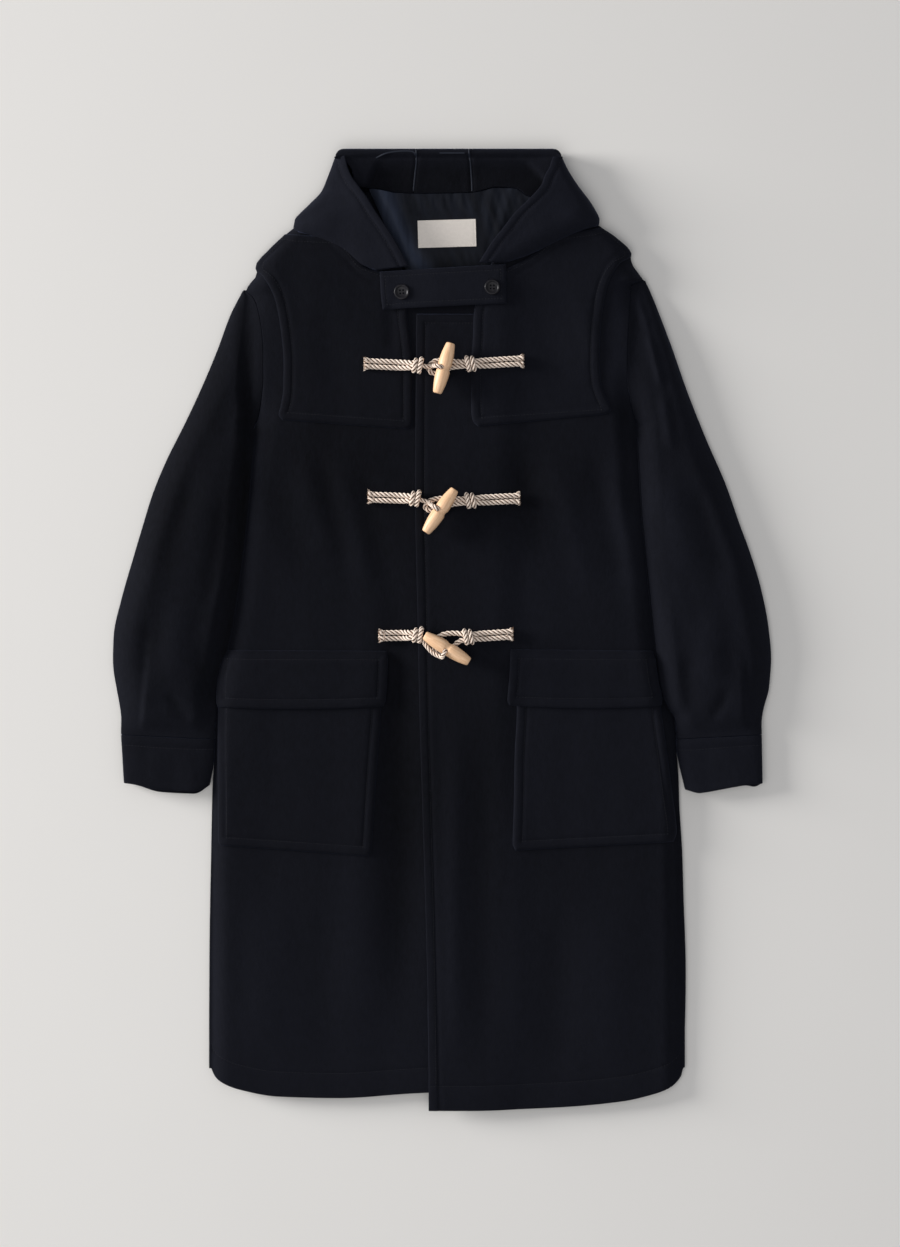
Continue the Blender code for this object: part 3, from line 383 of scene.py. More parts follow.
def sleeve_height(side, x, y):
    """Top of the upper sleeve."""
    outer, inner = SLEEVE_OUT[side](y), sleeve_inner(side, y)
    width = np.maximum(np.abs(outer - inner), 1)
    from_out, from_in = np.abs(x - outer), np.abs(x - inner)
    lapped = under_sleeve_height(side, inner, y) + WOOL + SEAM_GAP + 0.6
    inner_edge = mix(EDGE_TOP(y), lapped, sleeve_overlap(y))
    edge = mix(EDGE_HEIGHT, inner_edge, np.minimum(from_out / width, 1))
    crest = np.maximum(SLEEVE_LOFT(y), edge)
    valley, valley_at = VALLEY[side][0](y), VALLEY[side][1](y)
    climb = np.maximum(from_in - valley * valley_at, 0)
    reach = np.minimum(INNER_REACH[side](y), 0.55 * width)
    inner_rise = mix(rise(climb, reach), smooth(climb / reach), INNER_SOFT[side])
    full = rise(from_out, np.minimum(OUTER_REACH[side](y), 0.5 * width)) * inner_rise
    lengthways = x * 0.93 + OUT[side] * y * 0.36  # distance across the sloping arm
    seed = 21 if side == "right" else 34
    drape = 0.8 * soft_noise(lengthways, y, 26, 150, seed) + 0.25 * soft_noise(x, y, 20, 50, seed + 1)
    piece = f"sleeve_{side}"
    height = mix(edge, crest, full) + (fold_height(piece, x, y) + drape) * full
    height = height + pleat_height(piece, x, y) * rise(from_out, 10)
    height = height + valley * (1.0 * bump(from_in - 6, 4.5) - 2.5 * bump(from_in - valley_at, 6))
    seam = sleeve_foot(side, x)
    return mix(height, np.maximum(cuff_section(side, x), WOOL + 1), smooth((seam + 26 - y) / 26))


# %% [markdown]
# ## Cloth as a sheet with round edges
# Thick wool has no sharp edge: cut, turned and stitched, it ends in a soft roll. So a sheet is built from
# a grid of points on its outer face. At each point the cloth goes half its thickness to either side of
# its middle, and that half shrinks to nothing at the border along a quarter circle. Grid lines crowd near
# a border to carry the roll.

# %% A sheet from a grid
EDGE_LINES = (0, 0.12, 0.4, 0.85, 1.5, 2.6, 4.2, 6.2, 8, 9.4, 10.2, 10.9, 11.6, 12.6, 14.2, 17, 21, 26)
PLAIN_LINES = (0, 0.12, 0.4, 0.85, 1.5, 2.6, 4.4, 7, 10.5, 15, 20)
STITCH_INSET = 10.9
# How far in an edge's lines keep their distance, and the most of a width that this may take
EDGE_ZONE, ZONE_SHARE = 26.0, 0.42


def spread(lines_first, lines_last, length, step):
    """Places from 0 to a length, with the given lines at either end and even steps between them."""
    start, end = lines_first[-1], length - lines_last[-1]
    count = max(round((end - start) / step), 1)
    middle = [mix(start, end, i / count) for i in range(1, count)]
    return np.array([*lines_first, *middle, *(length - np.array(lines_last[::-1]))])


def between(first, last, places):
    """Columns between two edges. Near an edge they keep their distance from it, whatever the width is."""
    first, last = np.asarray(first, float)[:, None], np.asarray(last, float)[:, None]
    total = places[-1]
    width = np.abs(last - first)
    near_first = places[None, :] < total / 2
    distance = np.where(near_first, places[None, :], total - places[None, :])
    most = ZONE_SHARE * width
    keep = np.minimum(distance, EDGE_ZONE) * np.minimum(1, most / EDGE_ZONE)
    rest = np.maximum(distance - EDGE_ZONE, 0) / max(total / 2 - EDGE_ZONE, 1)
    moved = keep + rest * (width / 2 - np.minimum(EDGE_ZONE, most))
    share = np.where(near_first, moved / width, 1 - moved / width)
    return mix(first, last, share)


def grid(x, y, z):
    return np.stack([x, y, z], axis=2)


def grid_normals(points):
    """Unit normals of a grid of points."""
    along, down = np.gradient(points, axis=1), np.gradient(points, axis=0)
    normal = np.cross(along, down)
    return normal / np.maximum(np.linalg.norm(normal, axis=2, keepdims=True), 1e-9)


def border_of(cells, wrap):
    """The cells as four grid points each, and their border's edges as pairs of points."""
    rows, columns = cells.shape[0] + 1, cells.shape[1] + (0 if wrap else 1)
    index = np.arange(rows * columns).reshape(rows, columns)
    right = np.roll(index, -1, axis=1) if wrap else index[:, 1:]
    left = index if wrap else index[:, :-1]
    quads = np.stack([left[:-1], right[:-1], right[1:], left[1:]], axis=2)[cells]
    edges = np.concatenate([quads[:, [i, (i + 1) % 4]] for i in range(4)])
    keys, count = np.unique(np.sort(edges, axis=1), axis=0, return_counts=True)
    return quads, keys[count == 1]


def distance_from_border(points, border):
    """How far each point is from the nearest of the border's edges."""
    a, b = points[border[:, 0]], points[border[:, 1]]
    lengths = np.linalg.norm(b - a, axis=1)
    spots, owners = [], []
    for i, length in enumerate(lengths):
        count = max(int(length), 1)
        spots += [mix(a[i], b[i], (j + 0.5) / count) for j in range(count)]
        owners += [i] * count
    tree = KDTree(len(spots))
    for i, spot in enumerate(spots):
        tree.insert(spot, i)
    tree.balance()
    nearest = np.array([[owners[hit[1]] for hit in tree.find_n(p, 3)] for p in points])
    best = np.full(len(points), np.inf)
    for k in range(nearest.shape[1]):
        start, run = a[nearest[:, k]], (b - a)[nearest[:, k]]
        square = np.maximum((run**2).sum(1), 1e-12)
        t = np.clip(((points - start) * run).sum(1) / square, 0, 1)
        best = np.minimum(best, np.linalg.norm(points - start - run * t[:, None], axis=1))
    return best


# %% Building a sheet
def place_object(name, data):
    made = bpy.data.objects.new(name, data)
    bpy.context.scene.collection.objects.link(made)
    return made


def mesh_object(name, points, faces, finish, sharp=None):
    """A named object from points in millimetres, shaded smooth."""
    mesh = bpy.data.meshes.new(name)
    mesh.from_pydata((np.asarray(points, float) * MM).tolist(), [], [list(map(int, face)) for face in faces])
    mesh.shade_smooth()
    if sharp:
        mesh.set_sharp_from_angle(angle=math.radians(sharp))
    mesh.materials.append(finish)
    return place_object(name, mesh)


OUTER_FACE = {}  # the outer face of every sheet, kept for the stitches that lie on it


def sheet(name, points, thickness, finish, relief=None, cells=None, wrap=False, outward=None,
          roll_width=None, sewn_down=False, nap=0.0):
    """A closed sheet. The points are its outer face, and relief(distance from the border) raises that face.

    Its edge rolls over within roll_width. A piece that is sewn down keeps its inner face and rolls onto it.
    """
    rows, columns = points.shape[:2]
    if cells is None:
        cells = np.ones((rows - 1, columns if wrap else columns - 1), bool)
    quads, border = border_of(cells, wrap)
    flat = points.reshape(-1, 3)
    inside = distance_from_border(flat, border).reshape(rows, columns)
    inside.reshape(-1)[np.unique(border)] = 0
    normal = grid_normals(points) if outward is None else outward(points)
    if outward is None and normal[..., 2].mean() < 0:
        normal = -normal
    width = ROLL_SHARE * thickness if roll_width is None else roll_width
    roll = np.sqrt(1 - (1 - np.minimum(inside / width, 1)) ** 2)[..., None]
    lift = 0 if relief is None else relief(inside)[..., None]
    if sewn_down:
        inner = points - normal * thickness
        outer = inner + normal * roll * (thickness + lift)
    else:
        middle = points - normal * thickness / 2
        outer = middle + normal * roll * (thickness / 2 + lift)
        inner = middle - normal * roll * thickness / 2
    on_border = np.zeros(rows * columns, bool)
    on_border[np.unique(border)] = True
    used = np.zeros(rows * columns, bool)
    used[np.unique(quads)] = True
    top_index = np.cumsum(used) - 1
    bottom_index = np.where(on_border, top_index, used.sum() + np.cumsum(used & ~on_border) - 1)
    verts = np.concatenate([outer.reshape(-1, 3)[used], inner.reshape(-1, 3)[used & ~on_border]])
    first = flat[quads[0]]
    facing = np.dot(np.cross(first[1] - first[0], first[3] - first[0]), normal.reshape(-1, 3)[quads[0][0]])
    top = quads if facing > 0 else quads[:, ::-1]
    faces = np.concatenate([top_index[top], bottom_index[top[:, ::-1]]])
    OUTER_FACE[name] = outer
    made = mesh_object(name, verts, faces, finish)
    # Each point keeps its painted light and shade as a stored number, which the wool's and the satin's colour
    # read.
    painted_shading = np.broadcast_to(nap, (rows, columns)).reshape(-1)
    values = np.concatenate([painted_shading[used], painted_shading[used & ~on_border]])
    made.data.attributes.new("nap", "FLOAT", "POINT").data.foreach_set("value", values.astype(np.float32))
    return made


# %% [markdown]
# ## Stitched edges
# A duffle coat is unlined wool, so its edges are turned and topstitched a finger's width inside. The
# thread pulls the cloth down into a groove, and the wool between groove and edge puffs up.

# %% The relief of a stitched edge
def stitched(distance, inset=STITCH_INSET, depth=1.0, puff=0.9):
    """Height of the cloth by its distance from the edge."""
    band = np.sin(np.pi * np.clip(distance / inset, 0, 1)) ** 0.7 * puff
    inner = 0.5 * puff * bump(distance - inset - 5.5, 4.0)
    return band + inner - depth * bump(distance - inset, 1.7)


def soft_stitched(distance):
    return stitched(distance, depth=0.6, puff=0.55)


# %% [markdown]
# ## Shader maths
# A finish is a small program: noise, ramps and sums that end in one shader. Written as nodes it takes a
# page. The class below holds one output of a node, and its operators add Math nodes, so a finish reads as
# a formula.

# %% A socket with operators
class Value:
    """One output of a node tree."""

    def __init__(self, tree, socket=None):
        self.tree, self.socket = tree, socket

    def node(self, kind, settings=None, output=0, **sockets):
        """Adds a node. Settings go first, a ramp's stops too, then sockets by name or by _number."""
        made = self.tree.nodes.new(kind)
        for name, value in (settings or {}).items():
            if name == "stops":
                ramp = made.color_ramp
                while len(ramp.elements) < len(value):
                    ramp.elements.new(1.0)
                for element, (position, colour) in zip(ramp.elements, value):
                    element.position, element.color = position, colour
            else:
                setattr(made, name, value)
        for name, value in sockets.items():
            target = made.inputs[int(name[1:])] if name[0] == "_" else made.inputs[name.replace("_", " ")]
            if isinstance(value, Value):
                self.tree.links.new(value.socket, target)
            else:
                target.default_value = value
        return Value(self.tree, made.outputs[output])

    def maths(self, operation, first, *rest, clamp=False):
        values = {f"_{i}": value for i, value in enumerate((first, *rest))}
        return self.node("ShaderNodeMath", {"operation": operation, "use_clamp": clamp}, **values)

    def __add__(self, other):
        return self.maths("ADD", self, other)

    def __sub__(self, other):
        return self.maths("SUBTRACT", self, other)

    def __mul__(self, other):
        return self.maths("MULTIPLY", self, other)

    def place(self):
        """Where a point lies on its own piece."""
        return self.node("ShaderNodeTexCoord", output=3)

    def stored(self, name, output=2):
        """What the mesh keeps under this name: a number, or with output 1 a place."""
        return self.node("ShaderNodeAttribute", {"attribute_name": name}, output=output)

    def clamp(self):
        return self.maths("ADD", self, 0.0, clamp=True)

    def between(self, low, high):
        """0 below low, 1 above high."""
        return self.maths("MULTIPLY", self - low, 1 / (high - low), clamp=True)

    def blend(self, low, high):
        """A colour between two others."""
        return self.node("ShaderNodeMix", {"data_type": "RGBA"}, output=2, _0=self, _6=low, _7=high)

    def noise(self, place, scale, detail=3.0, roughness=0.6, distortion=0.0):
        return self.node(
            "ShaderNodeTexNoise", Vector=place, Scale=scale, Detail=detail, Roughness=roughness,
            Distortion=distortion,
        )

    def stretch(self, place, x, y, z):
        return self.node("ShaderNodeVectorMath", {"operation": "MULTIPLY"}, _0=place, _1=(x, y, z))

    def relief(self, height, strength, distance):
        return self.node("ShaderNodeBump", Height=height, Strength=strength, Distance=distance)


def finish_of(name, colour, constants, **varying):
    """A material with one Principled shader. Constants stay on its sockets, and the rest is linked."""
    made = bpy.data.materials.new(name)
    made.use_nodes = True
    shader = made.node_tree.nodes["Principled BSDF"]
    for socket, value in constants.items():
        shader.inputs[socket].default_value = value
    start = Value(made.node_tree)
    varying = {"Base_Color": colour, **varying}
    for socket, make in varying.items():
        value = make(start)
        made.node_tree.links.new(value.socket, shader.inputs[socket.replace("_", " ")])
    return made


# %% [markdown]
# ## Wool
# Melton is woven, then fulled and brushed until no weave shows. What is left is a dense felt with a short
# nap that lies in streaks. Its colour is nearly black navy, with a few paler fibres, and its nap lifts
# the light at grazing angles, which is what the sheen is for. The bump has two sizes: the nap's clumps
# and single fibres.
# Over this grain the colour also carries painted light and shade, stored on each point of every sheet.

# %% The wool's finish
def wool_colour(dark, pale):
    def make(start):
        place = start.place()
        clumps = start.noise(start.stretch(place, 1.0, 0.45, 1.0), 210, 3, 0.6)
        fibres = start.noise(start.stretch(place, 1.0, 0.55, 1.0), 1500, 2, 0.7)
        grain = clumps.between(0.25, 0.75) * 0.2 + fibres.between(0.3, 0.8) * 0.3
        # Painted light and shade, stored on each point, makes the wool lighter or darker.
        painted_shading = start.stored("nap")
        return (grain + painted_shading + 0.25).clamp().blend(dark, pale)

    return make


def wool_normal(start):
    place = start.place()
    nap = start.noise(start.stretch(place, 1.0, 0.6, 1.0), 420, 4, 0.65, 0.6)
    fibres = start.noise(place, 1700, 3, 0.7)
    height = nap * 0.7 + fibres * 0.3
    return start.relief(height, 0.55, 0.0011)


WOOL_CONSTANTS = {
    "Roughness": 0.92, "Specular IOR Level": 0.07, "Sheen Weight": 0.08, "Sheen Roughness": 0.4,
    "Sheen Tint": (0.45, 0.55, 0.95, 1),
}
wool = finish_of(
    "melton", wool_colour((0.0013, 0.0013, 0.0017, 1), (0.0086, 0.0094, 0.0146, 1)), WOOL_CONSTANTS,
    Normal=wool_normal,
)
thread = finish_of(
    "navy thread", lambda start: start.noise(start.place(), 900).blend(
        (0.004, 0.0045, 0.007, 1), (0.012, 0.013, 0.02, 1)
    ), {"Roughness": 0.6, "Specular IOR Level": 0.3},
)

# %% [markdown]
# ## Back and fronts
# The back is one plain piece on the table. The fronts are the coat's face. Their columns keep a fixed
# distance from both edges, so that the stitched groove runs true along the front edge, and their last
# rows follow the curved hem.

# %% Make the back
HEM_LINES = (0, 0.12, 0.4, 0.85, 1.5, 2.6, 4.4, 7, 11, 16, 21, 25, 27.6, 29, 30, 31, 32.4, 35, 39, 45)
HEM_INSET = 30.0
NECK_TOP, FRONT_TOP = 527, 519
HEM_TURN = -440  # straight rows end here, and the rows below turn into the hem's curve
TURN_LONG, TURN_ROWS = 60, 7


def straight_rows(top, bottom, step):
    count = round((top - bottom) / step)
    return np.linspace(top, bottom, count + 1)


def hem_rows(x_of, hem, rows):
    """The straight rows, then those that turn into the hem's curve. Returns x and y of the grid."""
    turn = np.linspace(0, 1, TURN_ROWS + 1)[1:]
    foot = HEM_TURN - TURN_LONG
    nominal = np.concatenate([rows, mix(HEM_TURN, foot, turn), np.full(len(HEM_LINES) - 1, float(foot))])
    x = x_of(nominal)
    y = np.repeat(nominal[:, None], x.shape[1], axis=1)
    first = len(rows)
    for i, share in enumerate(turn):
        y[first + i] = mix(HEM_TURN, hem(x[first + i]) + HEM_LINES[-1], share)
    for i, away in enumerate(HEM_LINES[-2::-1]):
        y[first + len(turn) + i] = hem(x[first + len(turn) + i]) + away
    return x, y


def make_back():
    places = spread(PLAIN_LINES, PLAIN_LINES, 570, 7)
    x, y = hem_rows(
        lambda at: between(BODY_EDGE["right"](at), BODY_EDGE["left"](at), places), BACK_HEM,
        np.concatenate([NECK_TOP - np.array(PLAIN_LINES), straight_rows(500, HEM_TURN, 7)]),
    )
    return sheet("coat_back", grid(x, y, rear_lift(x, y) + WOOL), WOOL, wool)


back = make_back()
show("back", [back])


# %% [markdown]
# ## The fronts' grooves and painted shading
# Both fronts have a topstitched hem, and the left one a topstitched edge. Their colour has painted shade in
# hollows and on the chest, and painted light on ridges and towards the hem.

# %% The fronts' relief and painted shading
def front_relief(side, x, y):
    """Grooves and puffs of a front's stitched edges."""
    hem = stitched(y - HEM[side](x), HEM_INSET, 0.5, 0.25)
    if side == "right":
        return hem
    to_edge = x - FRONT_EDGE["left"](np.minimum(y, LEFT_TOP))
    to_top = np.where(x < LEFT_INNER + 20, LEFT_TOP - y, FAR)
    nearest = np.where(y <= LEFT_TOP, np.minimum(to_edge, to_top), FAR)
    return hem + soft_stitched(nearest)


PAINTED_SHADING_SPOTS = (  # x, y, reach, and the painted light there, which is painted shade below 0
    (-125, 190, 90, -0.24), (118, 180, 70, -0.16), (20, -150, 90, -0.10), (10, 20, 60, -0.06),
    (95, 40, 80, 0.16), (150, 330, 110, 0.10), (40, 240, 50, 0.06), (200, 120, 60, 0.08),
    (-30, -220, 70, -0.08), (-40, 110, 60, -0.08), (-227, 236, 13, -0.25), (214, 200, 34, 0.14),
    (220, 130, 34, 0.14), (224, 60, 34, 0.12), (226, 0, 30, 0.08),
)


def front_painted_shading(side, x, y):
    """Painted shade in hollows and on the chest, and painted light on ridges and towards the hem."""
    total = np.clip(0.04 * fold_height(f"front_{side}", x, y), -0.25, 0.15)
    total = total + 0.14 * smooth((-220 - y) / 260)
    for spot_x, spot_y, reach, painted_shading in PAINTED_SHADING_SPOTS:
        total = total + painted_shading * bump(np.hypot(x - spot_x, y - spot_y), reach)
    if side == "left":
        # A strip beside the yoke's edge is painted lighter, as painted light.
        total = total + 0.26 * bump(x - 211, 13) * smooth((y - 260) / 30) * smooth((440 - y) / 20)
    return total


def armhole_roll(side, x, y):
    """The front's edge hardly rolls where the sleeve is sewn on."""
    at_seam = (np.abs(x - BODY_EDGE[side](y)) < 3) & (y > ARMPIT + 10) & (y < 440)
    return np.where(at_seam, SEWN_ROLL, EDGE_ROLL)


# %% Make the fronts
def make_front_right():
    places = spread(PLAIN_LINES, PLAIN_LINES, 330, 4.6)
    x, y = hem_rows(
        lambda at: between(BODY_EDGE["right"](at), FRONT_EDGE["right"](at), places), HEM["right"],
        np.concatenate([
            FRONT_TOP - np.array(PLAIN_LINES), straight_rows(495, 375, 2.5), straight_rows(370, HEM_TURN, 5)
        ]),
    )
    z = front_height("right", x, y) + front_relief("right", x, y)
    return sheet(
        "coat_front_right", grid(x, y, z), WOOL, wool,
        roll_width=armhole_roll("right", x, y), nap=front_painted_shading("right", x, y),
    )


def make_front_left():
    """Above its top edge it is only as wide as the yoke, so the grid loses its inner columns there."""
    outer = spread(PLAIN_LINES, (0,), 250, 4.6)
    inner = spread((0,), EDGE_LINES, 66, 4.6)[1:]

    def columns(at):
        line = np.where(at > LEFT_TOP, LEFT_NECKLINE(at), LEFT_INNER)
        wide = between(BODY_EDGE["left"](at), line, outer)
        edge = FRONT_EDGE["left"](np.minimum(at, LEFT_TOP))
        share = inner[None, :] / inner[-1]
        narrow = LEFT_INNER + (edge[:, None] - LEFT_INNER) * share
        return np.concatenate([wide, narrow], axis=1)

    rows = np.concatenate([
        FRONT_TOP - np.array(PLAIN_LINES), straight_rows(495, LEFT_TOP + 4, 2.5),
        LEFT_TOP - np.array(EDGE_LINES), straight_rows(LEFT_TOP - 31, HEM_TURN, 5),
    ])
    x, y = hem_rows(columns, HEM["left"], rows)
    z = front_height("left", x, y) + front_relief("left", x, y)
    cells = np.ones((x.shape[0] - 1, x.shape[1] - 1), bool)
    cells[: int((rows > LEFT_TOP).sum()), len(outer) - 1 :] = False
    return sheet(
        "coat_front_left", grid(x, y, z), WOOL, wool, cells=cells,
        roll_width=armhole_roll("left", x, y), nap=front_painted_shading("left", x, y),
    )


fronts = {"right": make_front_right(), "left": make_front_left()}
show("fronts", fronts.values())

# %% [markdown]
# ## Yokes, pockets and flaps
# These are patches: each lies on a front, sewn down along its stitched edge. A patch is made from the
# front's own surface, moved out by the cloth's thickness, so it follows every fold below it.

# %% The cut of the patches
YOKES = {
    "right": (
        ((-186, 473), (-128, 470)), ((-205, 455), (-108, 452)), ((-221.5, 434), (-90, 433)),
        ((-215, 424), (-64, 424)), ((-207, 412), (-46, 408)), ((-200, 396), (-42, 392)),
        ((-195.5, 376), (-41, 374)), ((-192, 352), (-38, 350)), ((-189.5, 320), (-35, 316)),
        ((-190, 289), (-35, 283)), ((-193, 268), (-35, 256)), ((-195.5, 258), (-36, 245)),
        ((-191, 251.5), (-42, 240.5)),
    ),
    "left": (
        ((190, 480), (140, 474)), ((208, 468), (124, 460)), ((225.5, 449), (104, 446)),
        ((214, 440), (78, 432)), ((203, 424), (52, 420)), ((196, 404), (45, 404)),
        ((192, 380), (38, 378)), ((189.5, 356), (37, 350)), ((188.5, 322), (35, 316)),
        ((190.5, 296), (35, 289)), ((197.5, 276), (35, 262)), ((202.5, 264), (37, 250)),
        ((194, 258), (43, 243.6)),
    ),
}
POCKETS = {
    "right": (
        ((-265, -37), (-72, -37)), ((-268, -95), (-73, -95)), ((-268.5, -150), (-77, -150)),
        ((-268, -205), (-81, -210)), ((-268, -252), (-84.5, -262)), ((-265, -258), (-88, -271)),
    ),
    "left": (
        ((254, -37), (89.6, -37)), ((262, -95), (89.6, -95)), ((269, -145), (87, -150)),
        ((276, -200), (86, -210)), ((281, -243), (84.6, -256)), ((277, -254), (88, -264)),
    ),
}
FLAPS = {
    "right": (
        ((-264, -24), (-66, -25)), ((-264.5, -34), (-65.5, -35)), ((-266, -62), (-66.5, -62)),
        ((-267.5, -86), (-68.5, -85)), ((-266, -92), (-71, -91)),
    ),
    "left": (
        ((252, -25), (82, -23)), ((253, -35), (81, -33)), ((256.5, -62), (79.5, -60)),
        ((261, -84), (77.5, -84)), ((260, -91), (80, -90)),
    ),
}
TAB = (((-74.4, 428), (75.6, 436.4)), ((-73.5, 410), (76, 418)), ((-72.5, 394), (76.2, 402)),
       ((-71.5, 383), (76.4, 390)))
YOKE_STAND = curve((240, LAY_GAP), (362, LAY_GAP), (378, 1.1), (410, 1.4), (440, 2.2), (482, 2.4))
FLAP_STAND = curve((-92, 3.9), (-62, 3.9), (-36, 3.6), (-28, LAY_GAP), (-20, LAY_GAP))
TAB_STAND = 4.9
TAB_STITCH = 6.2
TAB_LINES = (0, 0.12, 0.4, 0.85, 1.5, 2.6, 4.2, 5.2, TAB_STITCH, 7.2, 9, 12, 16)


# %% Laying one patch
def pocket_stand(y):
    return LAY_GAP + 0 * y


def outline_of(table, end):
    """One border of a patch as a smooth path: a function from 0 to 1 that gives x and y."""
    points = np.array([row[end] for row in table], float)
    length = lengths_along(points)
    share = length / length[-1]
    read = [curve(*zip(share, points[:, axis])) for axis in (0, 1)]
    return lambda t: np.stack([read[0](t), read[1](t)], axis=-1)


def patch_grid(table, sag=0.0, step=4.6, lines=EDGE_LINES):
    """The grid of a patch in the plane, with lines crowded at all four borders."""
    first, last = outline_of(table, 0), outline_of(table, 1)
    tall = np.linalg.norm(np.diff(first(np.linspace(0, 1, 40)), axis=0), axis=1).sum()
    wide = np.linalg.norm(first(0.5) - last(0.5))
    down = spread(lines, lines, tall, step) / tall
    across = spread(lines, lines, wide, step) / wide
    a, b = first(down)[:, None, :], last(down)[:, None, :]
    points = mix(a, b, across[None, :, None])
    points[..., 1] -= sag * 4 * across * (1 - across) * down[:, None] ** 2
    return points


def on_front(side):
    """The top of one front, as a surface that patches follow."""
    return lambda x, y: front_height(side, x, y)


def lay_patch(name, surface, table, stand, sag=0.0, relief=stitched, roll_width=3.4, sewn_down=True,
              nap=0.0, lines=EDGE_LINES):
    plane = patch_grid(table, sag, lines=lines)
    x, y = plane[..., 0], plane[..., 1]
    slope_x = (surface(x + 1, y) - surface(x - 1, y)) / 2
    slope_y = (surface(x, y + 1) - surface(x, y - 1)) / 2
    normal = grid(-slope_x, -slope_y, np.ones_like(x))
    normal /= np.linalg.norm(normal, axis=2, keepdims=True)
    points = grid(x, y, surface(x, y)) + normal * (stand(y)[..., None] + PATCH_WOOL)
    return sheet(
        name, points, PATCH_WOOL, wool, relief=relief, roll_width=roll_width, sewn_down=sewn_down, nap=nap
    )


# %% [markdown]
# ## Laying the patches
# One function lays every patch. The throat tab bridges both fronts, so it has a surface of its own.

# %% Lay the patches
# Painted light and shade on each side's patches: the left side's, away from the window, are painted lighter.
YOKE_PAINTED_SHADING, POCKET_PAINTED_SHADING = {"right": -0.04, "left": 0.14}, {"right": 0.0, "left": 0.12}
yokes, pockets, flaps = {}, {}, {}
for side in SIDES:
    yokes[side] = lay_patch(
        f"coat_yoke_{side}", on_front(side), YOKES[side], YOKE_STAND, relief=soft_stitched,
        nap=YOKE_PAINTED_SHADING[side],
    )
    pockets[side] = lay_patch(
        f"coat_pocket_{side}", on_front(side), POCKETS[side], pocket_stand, relief=soft_stitched,
        nap=POCKET_PAINTED_SHADING[side],
    )
    flaps[side] = lay_patch(
        f"coat_pocket_flap_{side}", on_front(side), FLAPS[side], FLAP_STAND, sag=3, roll_width=2.6,
        sewn_down=False, relief=soft_stitched, nap=POCKET_PAINTED_SHADING[side],
    )


# %% The throat tab
def tab_surface(x, y):
    """What the throat tab stands off: the fronts, with the left one's rise."""
    return mix(front_base("right", x, y), front_base("left", x, y), smooth((x + 60) / 60))


def tab_relief(distance):
    """A tab is stuffed with its own turnings: it swells from its edge and has one fine stitched line."""
    swell = 0.7 * np.sin(np.pi / 2 * np.clip(distance / 6, 0, 1))
    return swell - 0.35 * bump(distance - TAB_STITCH, 1.0)


# The tab's colour is painted lighter than the fronts'.
tab = lay_patch(
    "coat_throat_tab", tab_surface, TAB, lambda y: TAB_STAND + 0 * y, relief=tab_relief, roll_width=2.4,
    sewn_down=False, nap=0.24, lines=TAB_LINES,
)
show("patches", (*yokes.values(), *pockets.values(), tab))

# %% [markdown]
# ## Sleeves and cuffs
# A duffle's sleeve is cut in two: an upper and an under piece, joined down both sides. Laid flat they are
# a low tube, pleated where the cuff gathers it. The cuff is a band all round, flattened by its own
# weight.

# %% The grid and the painted shading of a sleeve
LAPPED_ROLL = 3.0  # where the sleeve lies free on the body's side
# How far in from the sleeve's inner edge the valley lies
VALLEY_AT = curve((-126, 2), (100, 4), (246, 12), (291, 20), (336, 23), (382, 17), (405, 8))


def sleeve_rows_of(side):
    lines = np.array(PLAIN_LINES[:-2])
    top, foot = SLEEVE_TOP[side], CUFF_SEAM
    return np.concatenate([top - lines, straight_rows(top - 15, foot + 15, 4.4), foot + lines[::-1]])


def sleeve_plane(side, step):
    """Grid of a sleeve in the plane. Its last rows turn into the slanting seam of the cuff."""
    at = sleeve_rows_of(side)
    outer, inner = SLEEVE_OUT[side](at), sleeve_inner(side, at)
    foot = smooth((-70 - at) / 55)
    outer, inner = mix(outer, CUFF_SEAM_X[side][0], foot), mix(inner, CUFF_SEAM_X[side][1], foot)
    x = between(outer, inner, spread(PLAIN_LINES, PLAIN_LINES, 112, step))
    y = at[:, None] + (sleeve_foot(side, x) + 0.1 - CUFF_SEAM) * smooth((-60 - at) / 65)[:, None]
    return x, y


def close_seams(side, x, y):
    """How far the cloth's edge takes to roll over: hardly at all where it is sewn to its neighbour."""
    at_seam = (np.abs(x - sleeve_inner(side, y)) < 3) & (y > ARMPIT + 10) | (y < sleeve_foot(side, x) + 3)
    lapped = sleeve_overlap(y) * (np.abs(x - sleeve_inner(side, y)) < 8)
    return np.where(at_seam, SEWN_ROLL, mix(EDGE_ROLL, LAPPED_ROLL, lapped))


def sleeve_painted_shading(side, x, y):
    """Painted shade in the valley beside the body, and painted light along the arm's outer side."""
    inner = np.abs(x - sleeve_inner(side, y))
    hollow = np.clip(0.04 * fold_height(f"sleeve_{side}", x, y), -0.15, 0.12)
    if side == "left":
        outer = np.abs(x - SLEEVE_OUT[side](y))
        slope = 0.14 * bump(outer - 14, 12) * smooth((y - 140) / 80)
        return hollow + slope + 0.14 - 0.08 * smooth((y - 130) / 80) + 0.06 * smooth((-60 - y) / 60)
    valley = -0.20 * bump(inner - VALLEY_AT(y), 8) * smooth((320 - y) / 70) * smooth((y + 110) / 60)
    beside = 0.10 * bump(inner - VALLEY_AT(y) - 17, 9) + 0.12 * bump(inner - 6, 8)
    painted_shading = hollow + valley + beside * smooth((y - 190) / 60) - 0.12 * smooth((y - 40) / 100)
    return painted_shading - 0.06 * smooth((y + 60) / 60) + 0.06 * smooth((-60 - y) / 60)


# %% Make the sleeves
def make_upper_sleeve(side):
    x, y = sleeve_plane(side, 2.8)
    return sheet(
        f"coat_sleeve_{side}_upper", grid(x, y, sleeve_height(side, x, y)), WOOL, wool,
        roll_width=close_seams(side, x, y), nap=sleeve_painted_shading(side, x, y),
    )


